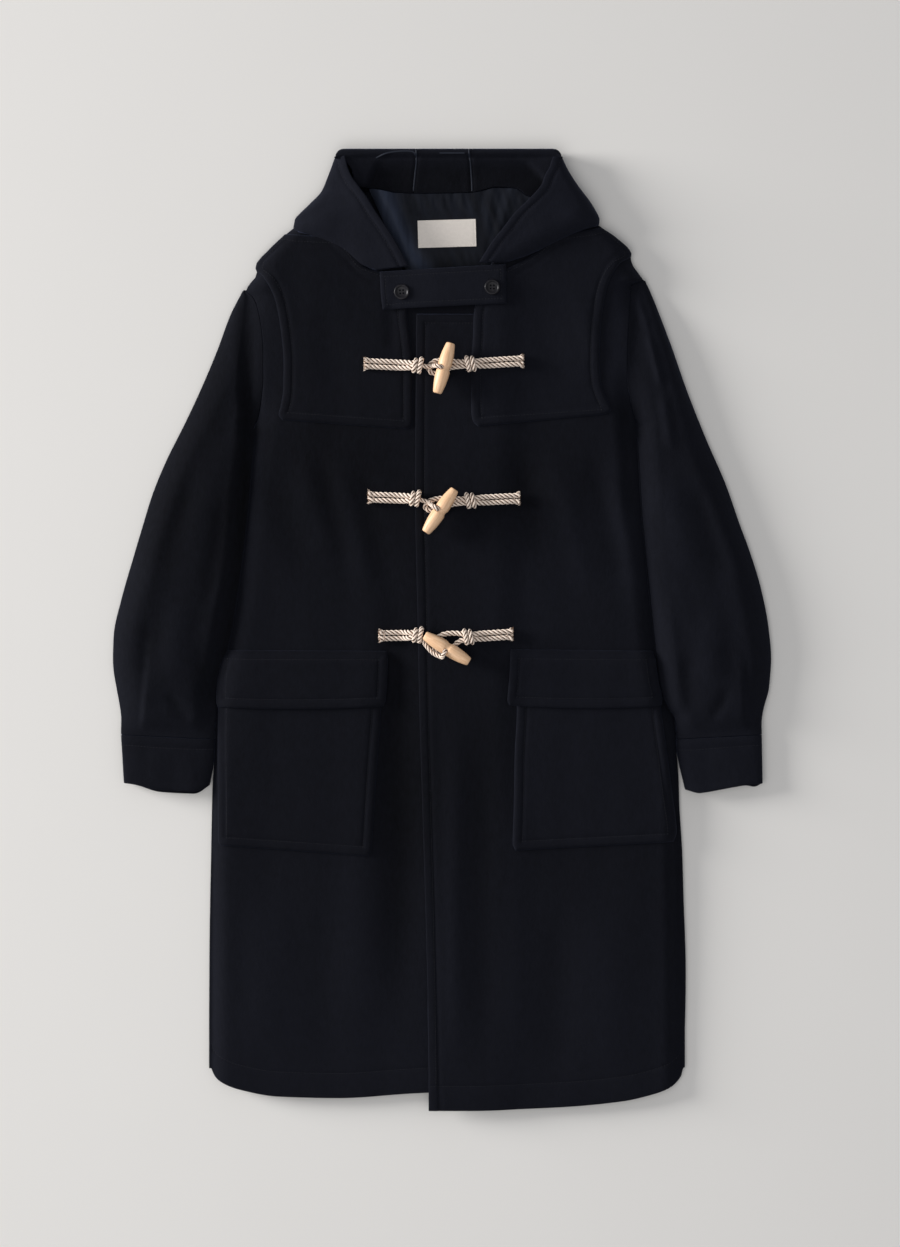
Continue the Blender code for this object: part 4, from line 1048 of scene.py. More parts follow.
def make_under_sleeve(side):
    x, y = sleeve_plane(side, 3.6)
    z = under_sleeve_height(side, x, y) + WOOL
    return sheet(f"coat_sleeve_{side}_under", grid(x, y, z), WOOL, wool)


sleeves = {}
for side in SIDES:
    sleeves[side, "upper"] = make_upper_sleeve(side)
    sleeves[side, "under"] = make_under_sleeve(side)
show("sleeves", sleeves.values())

# %% [markdown]
# ## Cuffs
# A cuff is a ring of cloth, open at both ends: rows run from its seam to the wrist, columns all round.

# %% Make the cuffs
CUFFS = {
    "right": dict(
        foot=(-184, -190), outer=curve((0, -385.5), (1, -382)),
        inner=curve((0, -272.3), (0.45, -273.6), (1, -279)),
    ),
    "left": dict(
        foot=(-184.5, -196), outer=curve((0, 384), (1, 385)),
        inner=curve((0, 280.9), (0.3, 282.4), (0.45, 284), (1, 292)),
    ),
}
CUFF_SAG = {"right": curve((0, 0), (0.12, 0.5), (0.4, 5), (0.8, 5), (1, -3)),
            "left": curve((0, 0), (0.15, -1), (0.4, 0), (0.8, 2), (1, -4))}
UNDER_SAG = {"right": curve((0, 0), (0.2, 1.5), (0.5, 3.6), (0.85, 3), (1, 0)),
             "left": curve((0, 0), (0.1, 3.6), (0.22, 1), (0.8, 0), (1, 0))}
CUFF_COUNT = 128
CUFF_LONG, CUFF_STITCH = 62.0, 12  # from its seam to its foot, and to its stitched line
# How much lighter each cuff's colour is painted, as painted light.
CUFF_PAINTED_SHADING = {"right": 0.03, "left": 0.24}


def make_cuff(side):
    """Rows run from the seam to the foot, and columns all round."""
    size = CUFFS[side]
    t = spread(PLAIN_LINES[:-2], EDGE_LINES[:-2], CUFF_LONG, 2.4)[:, None] / CUFF_LONG
    angle = (2 * math.pi * (np.arange(CUFF_COUNT) + 0.5) / CUFF_COUNT)[None, :]
    outer, inner = size["outer"](t), size["inner"](t)
    middle, half = (outer + inner) / 2, np.abs(outer - inner) / 2
    across = np.sign(np.cos(angle)) * np.abs(np.cos(angle)) ** 0.55
    up = np.sign(np.sin(angle)) * np.abs(np.sin(angle)) ** 0.6
    above = np.maximum(up, 0)
    share = (1 - OUT[side] * across) / 2
    hang = CUFF_SAG[side](share) + UNDER_SAG[side](share) * smooth(0.5 - 2 * up)
    x = middle + half * across
    y = mix(mix(*CUFF_SEAM_Y, share) - 0.1, mix(*size["foot"], share) - hang, t)
    along = t * CUFF_LONG
    wave = 0.7 * soft_noise(x, y, 24, 60, 5 if side == "right" else 6) * smooth(along / 20) * above
    puff = np.sin(np.pi * np.clip(along / CUFF_STITCH, 0, 1)) ** 0.7
    seam = 0.9 * puff - 0.9 * bump(along - CUFF_STITCH, 1.6)
    edge = 0.7 * bump(along - CUFF_LONG + 4, 4)
    z = CUFF_TALL / 2 + CUFF_TALL / 2 * up + wave + (seam + edge) * above

    def outward(points):
        ring = np.roll(points, -1, axis=1) - np.roll(points, 1, axis=1)
        down = np.gradient(points, axis=0)
        normal = np.cross(ring, down)
        normal /= np.maximum(np.linalg.norm(normal, axis=2, keepdims=True), 1e-9)
        centre = points.mean(axis=1, keepdims=True)
        flip = np.sign(((points - centre) * normal).sum(axis=2).mean())
        return normal * flip

    roll_width = np.where(along < 5, SEWN_ROLL, EDGE_ROLL) + 0 * x
    return sheet(
        f"coat_cuff_{side}", grid(x, y, z), WOOL, wool, wrap=True, outward=outward, roll_width=roll_width,
        nap=CUFF_PAINTED_SHADING[side],
    )


cuffs = {side: make_cuff(side) for side in SIDES}
show("cuffs", cuffs.values())

# %% [markdown]
# ## Hood
# Off the head, a hood falls behind the neck. Its two sides fold over onto the shoulders, each a flattened
# U of cloth from its roll to the opening's edge. Its middle strip shows its inside above the neck, rolls
# over at the top and goes down under the back.

# %% Stations of the hood's sides
HOOD_SIDES = {
    # roll_x, roll_y, edge_x, edge_y, height of the fold, height of the opening's edge
    "right": (
        (-78, 430.5, -40, 434.5, 9, 8), (-96, 437, -50.8, 456, 13, 13), (-122.4, 457, -63.8, 477.6, 17, 17),
        (-154.8, 471.6, -78.6, 499, 20, 20), (-178, 482.4, -91, 519, 22, 22),
        (-176, 493, -98.4, 529, 24, 24), (-159, 511, -104, 536.5, 27, 26),
        (-144.5, 526, -108.6, 544, 27, 26), (-137, 543, -112.4, 553, 27, 26),
        (-131.6, 557.5, -114.8, 561.5, 25, 26), (-128.6, 566, -116.4, 567.5, 23, 25),
    ),
    "left": (
        (79, 440, 44, 438.5, 9, 8), (109, 451, 58.8, 462, 13, 13), (137, 464.4, 73, 480, 17, 17),
        (165.6, 477.6, 87.6, 499, 20, 20), (188.4, 486.6, 101, 512, 22, 22),
        (189, 493, 111.6, 523, 24, 24), (180, 510.6, 118.8, 532.8, 28, 27), (163, 533, 123, 544, 28, 28),
        (152, 550, 128.5, 554, 27, 27), (146.5, 561, 131, 562, 25, 26), (144.5, 566, 132.5, 566.5, 22, 24),
    ),
}
HOOD_FLOOR = 3.6
HOOD_GAP, HOOD_EDGE_GAP = 3.0, 5.0
HOOD_STITCH = 10.0  # from the opening's edge
# How much lighter each folded side of the hood is painted, as painted light.
HOOD_PAINTED_SHADING = {"right": 0.30, "left": 0.42}


# %% Fold the hood's sides
def hood_rest(side, x, y):
    """What a folded side of the hood lies on."""
    held = np.minimum(y, FRONT_TOP)
    edge = BODY_EDGE[side](held)
    beyond = np.maximum(np.maximum(OUT[side] * (x - edge), y - FRONT_TOP), 0)
    on_body = np.where(beyond == 0, front_base(side, x, held), EDGE_TOP(y) + REAR_LIFT)
    gap = mix(HOOD_EDGE_GAP, HOOD_GAP, smooth(OUT[side] * (edge - x) / 45))
    return mix(on_body + gap, HOOD_FLOOR, smooth(beyond / 26))


SEWN = (1, 1, 1, 1, 1, 0.85, 0.45, 0.15, 0, 0, 0)  # by station: sewn to the neck, or a free fold
SLOPE_REACH = (26, 30, 34, 38, 40, 34, 26, 20, 14, 10, 8)  # how far the upper layer takes to round over
RAMP = {"right": 0.62, "left": 0.15}  # how much of its rise goes on evenly up to the opening's edge


def steadied(heights, reach=9):
    """A column of heights without its sudden changes."""
    held = np.pad(heights[:, 0], reach, mode="edge")
    weight = bump(np.arange(-reach, reach + 1), 0.5 * reach)
    return np.convolve(held, weight / weight.sum(), mode="valid")[:, None]


def make_hood_side(side):
    """Each station is one U: from the lower ply's edge, round the roll, to the opening's edge on top."""
    table = np.array(HOOD_SIDES[side], float)
    at = lengths_along(table[:, 2:4])
    stations = spread(PLAIN_LINES[:-3], PLAIN_LINES[:-3], at[-1], 2.2)
    columns = [curve(*zip(at, table[:, k]))(stations) for k in range(6)]
    roll_x, roll_y, edge_x, edge_y, tall, edge_tall = columns
    sewn = curve(*zip(at, SEWN))(stations)[:, None]
    reach = curve(*zip(at, SLOPE_REACH))(stations)[:, None]
    length = np.hypot(edge_x - roll_x, edge_y - roll_y)[:, None]
    turn = 1 - np.cos(np.linspace(0, np.pi / 2, 9))[:-1]
    near_opening = 1 - np.array(EDGE_LINES[::-1][6:]) / 90
    share = np.concatenate([turn * 0.12, np.linspace(0.12, 0.86, 24), near_opening])
    share = np.unique(np.clip(share, 0, 1))[None, :]
    x, y = mix(roll_x[:, None], edge_x[:, None], share), mix(roll_y[:, None], edge_y[:, None], share)
    low = hood_rest(side, x, y) - sewn * 2.6 * (1 - smooth(share * length / 16))
    thick = mix(tall[:, None], edge_tall[:, None], share)
    round_off = np.sqrt(np.maximum(1 - (1 - np.minimum(share * length / reach, 1)) ** 2, 0))
    from_edge = (1 - share) * length
    unrest = soft_noise(x, y, 34, 44, 12) * smooth(from_edge / 20)
    ply = stitched(from_edge, HOOD_STITCH, 0.7, 0.7) + unrest
    climb = mix(round_off, share, RAMP[side])
    start = steadied(mix(low[:, :1] + thick[:, :1] / 2, low[:, :1] + WOOL, sewn))
    finish = steadied(low[:, -1:] + thick[:, -1:])
    upper = grid(x, y, np.maximum(mix(start, finish, climb), low + WOOL + 1) + ply * round_off)
    lower = grid(x, y, low + thick * mix(0.5 * (1 - round_off), 0, sewn))
    points = np.concatenate([lower[:, :0:-1], upper], axis=1)

    def outward(points):
        normal = grid_normals(points)
        return normal * np.sign(normal[:, -3, 2].mean())

    return sheet(f"coat_hood_{side}_fold", points, WOOL, wool, outward=outward, nap=HOOD_PAINTED_SHADING[side])


hood_sides = {side: make_hood_side(side) for side in SIDES}
show("hood sides", hood_sides.values())

# %% [markdown]
# ## The hood's middle
# Three panels run from the neck's seam over the rim, down to the table and under the back.

# %% Lines of the inside band, the roll at the top and the rear
NECK_LINE = curve(
    (-100, 530.5), (-85, 530), (-54, 525.6), (-27, 524.4), (35, 525.6), (66, 531.6), (89, 530.4),
    (104, 521), (140, 518)
)
RIM_Y, TOP_Y = 572.0, 576.5
BAND = curve(
    (518, 8.5), (524, 9.5), (532, 11), (540, 12.5), (550, 15.5), (558, 19.5), (563, 22.5), (566, 23.5)
)
BAND_END = {
    "right": curve((520, -94), (527, -91), (540, -84), (552, -80), (564, -72), (568, -64)),
    "left": curve((520, 132), (532, 127), (540, 121), (552, 109), (561, 99), (568, 90)),
}
PANEL_SEAMS = {"right": curve((520, -34.4), (527, -34.2), (546, -32.4), (564, -30.6), (577, -31)),
               "left": curve((520, 36), (528, 36), (558, 34.2), (573, 32.4), (577, 32.4))}
CROWN_END = {
    "right": curve((518, -104), (545, -107), (556, -112), (561, -120), (565, -127.5), (577, -127.5)),
    "left": curve((518, 132), (545, 127), (556, 131), (561, 137), (565, 143), (577, 143)),
}
CORNER, CORNER_FROM = 10.0, 563
SHOWN_LONG = 46  # from the neck's seam to the rim
REAR = (  # Y and Z down the hood's outside and along under the back
    (574.9, 25.6), (576.3, 21), (576.5, 14), (575.6, 7), (572.5, 2), (565, 0), (520, 0), (450, 0), (352, 0)
)
REAR_FOOT = REAR.index((565, 0))
REAR_SHARE, REAR_MIDDLE = 0.88, 7


# %% Make the hood's panels
def crown_height(x, y):
    """Top of the hood's inside above the neck: a sunken band, a facet at either end of it, and the rim."""
    band = BAND(y) + 0.5 * soft_noise(x, y, 30, 22, 15)
    for side in SIDES:
        beyond = OUT[side] * (x - BAND_END[side](y))
        facet = 21.0 + 0.09 * np.minimum(beyond, 60) + 0.07 * (y - 540)
        band = mix(band, np.maximum(facet, band + 1.0), smooth(beyond / 7 + 0.3))
        seam = np.abs(x - PANEL_SEAMS[side](y))
        band = band - 0.6 * bump(seam, 2.2) + 0.5 * bump(seam - 5, 3)
    rim = smooth((y - 565.5) / 5)
    return mix(band, 27.4, rim) - 1.2 * bump(y - 565.3, 1.6)


def make_hood_panel(part):
    """Rows run from the neck seam over the rim and down to the floor, then under the back."""
    shown = spread(PLAIN_LINES[:5], (0,), SHOWN_LONG, 1.5)[:, None] / SHOWN_LONG
    behind = np.array(REAR, float)
    at = lengths_along(behind)
    foot = at[REAR_FOOT]
    under_back = spread((0,), PLAIN_LINES[:-3], at[-1] - foot, 9)[1:] + foot
    places = np.concatenate([np.linspace(0, foot, 16), under_back])
    rear_y, rear_z = curve(*zip(at, behind[:, 0]))(places), curve(*zip(at, behind[:, 1]))(places)
    level = np.concatenate([mix(526.5, RIM_Y, shown[:, 0]), rear_y])
    turned_up = np.minimum(level, TOP_Y)
    first, last = CROWN_END["right"](turned_up), CROWN_END["left"](turned_up)
    behind_row = np.arange(len(level)) >= len(shown)
    first[behind_row], last[behind_row] = CROWN_END["right"](TOP_Y), CROWN_END["left"](TOP_Y)
    if part != "right":
        first = PANEL_SEAMS["right" if part == "centre" else "left"](level) + 0.1
    if part != "left":
        last = PANEL_SEAMS["left" if part == "centre" else "right"](level) - 0.1
    x = between(first, last, spread(PLAIN_LINES, PLAIN_LINES, 96, 2.4))
    neck = NECK_LINE(x[: len(shown)])
    y = np.concatenate([mix(neck, RIM_Y, shown), np.repeat(rear_y[:, None], x.shape[1], axis=1)])
    inside = crown_height(x[: len(shown)], y[: len(shown)])
    z = np.concatenate([inside, np.repeat(rear_z[:, None], x.shape[1], axis=1)])
    end = np.minimum(x - CROWN_END["right"](TOP_Y), CROWN_END["left"](TOP_Y) - x)
    cut_in = CORNER - np.sqrt(np.maximum(CORNER**2 - np.maximum(CORNER - end, 0) ** 2, 0))
    kept_share = 1 - cut_in / (TOP_Y - CORNER_FROM)
    y = np.where(y > CORNER_FROM, CORNER_FROM + (y - CORNER_FROM) * kept_share, y)
    under = np.where(behind_row[:, None] & (z < 6), smooth((568 - y) / 200), 0)
    x = mix(x, REAR_MIDDLE + (x - REAR_MIDDLE) * REAR_SHARE, under)
    seam_roll = np.where(np.abs(x) < 60, SEWN_ROLL, EDGE_ROLL)
    # Painted shade on the low sunken band, and painted light up towards the rim.
    painted_shading = mix(-0.16, 0.14, smooth((z - 14) / 9))

    def outward(points):
        normal = grid_normals(points)
        return normal * np.sign(normal[len(points) // 8, :, 2].mean())

    return sheet(
        f"coat_hood_{part}_crown", grid(x, y, z), WOOL, wool, outward=outward, roll_width=seam_roll, nap=painted_shading
    )


hood_panels = {part: make_hood_panel(part) for part in ("right", "centre", "left")}
show("hood panels", hood_panels.values())

# %% [markdown]
# ## Lining and label
# Only the neck's lining shows: navy satin, set in with soft pleats below the hood's seam. Satin is a
# long-float weave, so it is smooth and shines along its folds. The label is a plain ivory ribbon, sewn
# down at its border.
# The brightest streak of its shine is a painted highlight in its colour.

# %% The satin's and the label's finish
def satin_colour(start):
    place = start.place()
    yarns = start.noise(start.stretch(place, 1.0, 0.2, 1.0), 700, 2)
    # Painted light and shade, stored on each point, lightens the satin.
    painted_shading = start.stored("nap")
    return (yarns * 0.2 + painted_shading * 0.9).clamp().blend((0.0022, 0.0025, 0.0042, 1), (0.031, 0.039, 0.063, 1))


satin = finish_of(
    "navy satin", satin_colour, {"Roughness": 0.5, "Specular IOR Level": 0.09},
    Normal=lambda start: start.relief(
        start.noise(start.stretch(start.place(), 1.0, 0.15, 1.0), 2600, 2), 0.12, 0.0002,
    ),
)


def ribbon_weave(start):
    return start.node(
        "ShaderNodeTexWave", {"wave_type": "BANDS", "bands_direction": "Y"}, output=1,
        Vector=start.place(), Scale=420, Distortion=0.6,
    )


ivory = finish_of(
    "ivory ribbon",
    lambda start: (ribbon_weave(start) * 0.5 + start.noise(start.place(), 260) * 0.5)
    .blend((0.66, 0.61, 0.555, 1), (0.90, 0.835, 0.77, 1)),
    {"Roughness": 0.75, "Specular IOR Level": 0.3},
    Normal=lambda start: start.relief(ribbon_weave(start), 0.3, 0.0003),
)

# %% [markdown]
# ## Laying the lining
# The pleats run down from the hood's seam, and the label lies flat among them.

# %% The lining's folds
LINING_FOLDS = (
    # x at the top, x at the bottom, width, height, how far down it reaches
    (-72, -27, 8.0, 3.5, 1.3), (-57, -14, 6, -1.2, 1.3), (-88, -46, 5.0, -1.0, 1.2),
    (-47, -40, 3, 0.6, 0.25), (-38, -33, 2.4, -0.5, 0.25), (-27, -22, 3, 0.6, 0.3),
    (-12, -16, 2.4, 0.5, 0.22), (0, 4, 3, 0.6, 0.25), (13, 12, 2.4, -0.5, 0.22), (24, 20, 3, 0.6, 0.3),
    (40, 30, 4, 0.6, 0.6), (50, 36, 3, -0.5, 0.6), (60, 42, 4, 0.7, 0.8), (72, 47, 3, -0.5, 0.8),
    (82, 52, 4, 0.7, 1.0), (94, 58, 4, -0.5, 1.0),
)
# Where a painted highlight runs along the satin
PAINTED_HIGHLIGHT = curve((424, -20), (433, -24), (471, -49), (499, -62), (526, -70))
LINING, LINING_TOP, LINING_FOOT = 1.0, 526, 424
LINING_BASE, LABEL_BASE = 8.2, 8.8
LABEL = dict(centre=(6, 476), width=70, height=33, thick=0.9, turn=math.radians(1.6))


# %% Make the lining and the label
def lining_height(x, y):
    down = (LINING_TOP - y) / (LINING_TOP - LINING_FOOT)
    total = LINING_BASE + 0 * x
    for top_x, foot_x, width, height, reach in LINING_FOLDS:
        total = total + height * bump(x - mix(top_x, foot_x, down), width) * smooth(1.6 - 1.6 * down / reach)
    total = total + 0.5 * soft_noise(x + 0.3 * y, y, 7, 40, 40) + 0.25
    centre_x, centre_y = LABEL["centre"]
    away = np.maximum(np.maximum(np.abs(x - centre_x) - 38, np.abs(y - centre_y) - 19), 0)
    return mix(LABEL_BASE, total, smooth(away / 12))


def make_lining():
    down = spread(PLAIN_LINES[:6], PLAIN_LINES[:6], LINING_TOP - LINING_FOOT, 2.0)
    share = down / down[-1]
    across = spread(PLAIN_LINES[:6], PLAIN_LINES[:6], 170, 1.3)
    x = between(mix(-88, -40, share), mix(108, 52, share), across)
    y = mix(NECK_LINE(x) - 0.4, LINING_FOOT, share[:, None])
    # A painted highlight along one fold and a small spot painted lighter at the top left end, over random
    # tone.
    painted_highlight = bump(x - PAINTED_HIGHLIGHT(y), 12.5) * (0.75 + 0.35 * soft_noise(x, y, 5, 60, 44))
    patch = bump(np.hypot(x + 91, 0.5 * (y - 516)), 5)
    painted_shading = 0.04 + 1.25 * painted_highlight + 0.8 * patch + 0.10 * soft_noise(x + 0.3 * y, y, 9, 50, 45)
    return sheet("coat_lining", grid(x, y, lining_height(x, y) + LINING), LINING, satin, nap=painted_shading)


def make_label():
    half_x, half_y = LABEL["width"] / 2, LABEL["height"] / 2
    lines = (0, 0.1, 0.3, 0.6, 1.0, 1.6, 2.2, 2.8)
    across = spread(lines, lines, LABEL["width"], 1.6) - half_x
    down = half_y - spread(lines, lines, LABEL["height"], 1.6)
    u, v = np.meshgrid(across, down)
    turn = LABEL["turn"]
    x = LABEL["centre"][0] + u * math.cos(turn) - v * math.sin(turn)
    y = LABEL["centre"][1] + u * math.sin(turn) + v * math.cos(turn)
    edge = np.minimum(half_x - np.abs(u), half_y - np.abs(v))
    top = LABEL_BASE + LINING + 0.3 + LABEL["thick"]
    z = top + 0.15 * soft_noise(x, y, 22, 18, 50) - 0.2 * bump(edge - 1.8, 0.5)
    return sheet("coat_neck_label", grid(x, y, z), LABEL["thick"], ivory)


lining, label = make_lining(), make_label()
show("lining and label", (lining, label))

# %% [markdown]
# ## Rope
# The fastenings are laid rope: three strands twisted together. Each strand is a tube that winds round the
# rope's path. The path is drawn through a few points, then read at even steps, with a frame carried along
# it so that the winding doesn't jump.

# %% The rope's finish
def yarn_bands(start):
    """Fine yarns that run slantwise round a strand."""
    return start.node(
        "ShaderNodeTexWave", {"wave_type": "BANDS", "bands_direction": "DIAGONAL"}, output=1,
        Vector=start.node("ShaderNodeUVMap", {"uv_map": "strand"}), Scale=7.0, Distortion=2.5, Detail=2.0,
    )


def rope_colour(start):
    open_face = start.stored("open_face")
    fibre = start.noise(start.place(), 800, 3, 0.7)
    shade = yarn_bands(start) * 0.3 + fibre.between(0.25, 0.75) * 0.7
    fair = shade.clamp().blend((0.86, 0.69, 0.57, 1), (1.0, 0.89, 0.78, 1))
    # Painted shade: faces near the rope's core, down in the grooves, take a dark brown.
    return open_face.between(0.68, 0.92).blend((0.24, 0.15, 0.10, 1), fair)


def rope_normal(start):
    fibre = start.noise(start.place(), 1600, 3, 0.7)
    return start.relief(yarn_bands(start) * 0.6 + fibre * 0.4, 0.6, 0.0004)


rope_finish = finish_of(
    "beige rope", rope_colour, {"Roughness": 0.9, "Specular IOR Level": 0.12}, Normal=rope_normal
)

# %% [markdown]
# ## Laying rope
# A path is rounded and read at even steps, and the strands wind round it. Fibres and thread finish an
# end.

# %% Laying rope along a path
ROPE_RADIUS, STRAND_RADIUS, ROPE_GAP = 3.2, 2.7, 0.4
LAY_LENGTH = 17.0  # of one full turn of the strands
STRANDS, STRAND_SIDES = 3, 10
ROPE_STEP = 0.7


def smooth_path(points, step=ROPE_STEP, closed=False):
    """Points at even steps along a rounded curve through the given ones."""
    points = np.array(points, float)
    if closed:
        ends = np.vstack([points[-1], points, points[0], points[1]])
    else:
        ends = np.vstack([2 * points[0] - points[1], points, 2 * points[-1] - points[-2]])
    dense = []
    for p0, p1, p2, p3 in zip(ends, ends[1:], ends[2:], ends[3:]):
        t = np.linspace(0, 1, 24, endpoint=False)[:, None]
        dense.append(0.5 * (2 * p1 + (p2 - p0) * t + (2 * p0 - 5 * p1 + 4 * p2 - p3) * t**2
                            + (3 * p1 - p0 - 3 * p2 + p3) * t**3))
    dense = np.vstack([*dense, ends[-2:-1]])
    length = lengths_along(dense)
    count = max(round(length[-1] / step), 4)
    places = np.linspace(0, length[-1], count + 1)
    return np.stack([np.interp(places, length, dense[:, k]) for k in range(3)], axis=1), length[-1]


def path_frames(path, closed=False):
    """Tangent and two sideways directions at each point, carried along without a twist."""
    tangent = np.gradient(path, axis=0)
    if closed:
        tangent[0] = tangent[-1] = path[1] - path[-2]
    tangent /= np.linalg.norm(tangent, axis=1, keepdims=True)
    side = np.cross(tangent[0], (0, 0, 1.0) if abs(tangent[0][2]) < 0.9 else (1.0, 0, 0))
    side /= np.linalg.norm(side)
    sides = [side]
    for before, after in zip(tangent, tangent[1:]):
        side = sides[-1] - after * np.dot(sides[-1], after)
        sides.append(side / np.linalg.norm(side))
    sides = np.array(sides)
    return tangent, sides, np.cross(tangent, sides)


# %% A mesh of rope
class RopeMesh:
    """Collects the strands of several stretches of rope into one mesh."""

    def __init__(self):
        self.points, self.faces, self.uvs, self.open_face = [], [], [], []

    def tube(self, path, radius, closed=False, sides=STRAND_SIDES, taper=None, core=None, reach=1.0,
             shade=1.0):
        """A tube along a path. With the rope's core given, faces near it count as hidden in its grooves,
        where the rope's finish paints shade.
        """
        _, side, up = path_frames(path, closed)
        count = len(path) - (1 if closed else 0)
        angle = 2 * np.pi * np.arange(sides) / sides
        radii = np.full(len(path), radius) if taper is None else radius * taper
        cosine, sine = np.cos(angle)[None, :, None], np.sin(angle)[None, :, None]
        ring = cosine * side[:, None, :] + sine * up[:, None, :]
        points = (path[:, None, :] + ring * radii[:, None, None])[:count]
        start = sum(len(p) for p in self.points)
        self.points.append(points.reshape(-1, 3))
        if core is None:
            self.open_face.append(np.full(count * sides, shade))
        else:
            away = np.linalg.norm(points - core[:count, None, :], axis=2)
            self.open_face.append((away / np.broadcast_to(reach, len(path))[:count, None]).reshape(-1))
        along = lengths_along(path)
        for i in range(count if closed else count - 1):
            for j in range(sides):
                k, m = (j + 1) % sides, (i + 1) % count
                a, b = start + i * sides, start + m * sides
                self.faces.append((a + j, a + k, b + k, b + j))
                u = (along[i] / 10, along[i + 1] / 10)
                v = (j / sides, (j + 1) / sides)
                self.uvs.append(((u[0], v[0]), (u[0], v[1]), (u[1], v[1]), (u[1], v[0])))
        if not closed:
            for i, turn in ((0, -1), (count - 1, 1)):
                ends = [start + i * sides + j for j in range(sides)]
                self.faces.append(tuple(ends if turn > 0 else ends[::-1]))
                self.uvs.append(tuple((along[i] / 10, 0.0) for _ in ends))

    def rope(self, points, radius=ROPE_RADIUS, closed=False, start_turn=0.0, flare=None):
        """Three strands wound along a path through these points."""
        path, length = smooth_path(points, closed=closed)
        _, side, up = path_frames(path, closed)
        strand = radius / (1 + 2 / math.sqrt(3))
        offset = 1.10 * (radius - strand)
        lay = LAY_LENGTH * radius / ROPE_RADIUS
        turns = length / lay
        twist_back = 0.0
        if closed:
            turns = max(round(turns), 1)
            last = side[-1]
            twist_back = math.atan2(np.dot(last, up[0]), np.dot(last, side[0]))
        share = np.linspace(0, 1, len(path))
        for k in range(STRANDS):
            angle = 2 * np.pi * (turns * share + k / STRANDS) - twist_back * share + start_turn
            open_out = np.ones(len(path)) if flare is None else flare(share * length, length)
            reach = offset * open_out
            wound = path + (reach * np.cos(angle))[:, None] * side + (reach * np.sin(angle))[:, None] * up
            self.tube(wound, strand * 0.88, closed, core=path, reach=radius * open_out, taper=open_out**0.7)

    def fray(self, end, direction, radius, seed, count=34):
        """A tuft of loose fibres at a rope's end."""
        random = np.random.default_rng(seed)
        direction = np.array(direction, float) / np.linalg.norm(direction)
        side = np.cross(direction, (0, 0, 1.0))
        side /= np.linalg.norm(side)
        up = np.cross(side, direction)
        for _ in range(count):
            angle, out = random.uniform(0, 2 * np.pi), radius * math.sqrt(random.uniform(0.05, 1))
            root = np.array(end) + out * (math.cos(angle) * side + math.sin(angle) * up) - direction * 0.8
            spread_out = 0.22 * out / radius * (math.cos(angle) * side + math.sin(angle) * up)
            long = random.uniform(1.2, 2.9)
            bend = 0.35 * (random.uniform(-1, 1) * side + random.uniform(-1, 1) * up)
            straight = (direction + spread_out) * long
            path = np.array([root + straight * t + bend * t * t * long for t in (0, 0.5, 1)])
            path[:, 2] = np.maximum(path[:, 2], end[2] - radius)
            self.tube(path, 0.42, sides=4, taper=np.array([1, 0.9, 0.35]), shade=random.uniform(0.55, 1.0))

    def whip(self, centre, along, across, half_wide, half_tall, turns=2, thread=0.45):
        """A few turns of thread that bind a doubled rope flat near its end."""
        along, across = np.array(along, float), np.array(across, float)
        for turn in range(turns):
            angle = 2 * np.pi * np.arange(21) / 20
            middle = np.array(centre) + along * (turn - (turns - 1) / 2) * thread * 1.8
            wide = half_wide * np.sign(np.cos(angle)) * np.abs(np.cos(angle)) ** 0.7
            tall = half_tall * np.sin(angle)
            ring = middle + across * wide[:, None] + np.array((0, 0, 1.0)) * tall[:, None]
            self.tube(ring, thread, closed=True, sides=6, shade=0.78)

    def finish(self, name, finish):
        made = mesh_object(name, np.vstack(self.points), self.faces, finish, sharp=60)
        layer = made.data.uv_layers.new(name="strand")
        flat = np.array([value for face in self.uvs for value in face], float)
        layer.data.foreach_set("uv", flat.reshape(-1).astype(np.float32))
        open_face = np.concatenate(self.open_face).astype(np.float32)
        made.data.attributes.new("open_face", "FLOAT", "POINT").data.foreach_set("value", open_face)
        bm = bmesh.new()
        bm.from_mesh(made.data)
        bmesh.ops.recalc_face_normals(bm, faces=bm.faces)
        bm.to_mesh(made.data)
        bm.free()
        made.data.shade_smooth()
        return made


# %% [markdown]
# ## The three fastenings
# On either front, a doubled rope is sewn down at its outer end and tied in a double-wrapped knot. From
# the knot on the left front comes a loop, and from the one on the right front a single rope that carries
# the toggle. The toggle is pushed through the loop and lies across it.

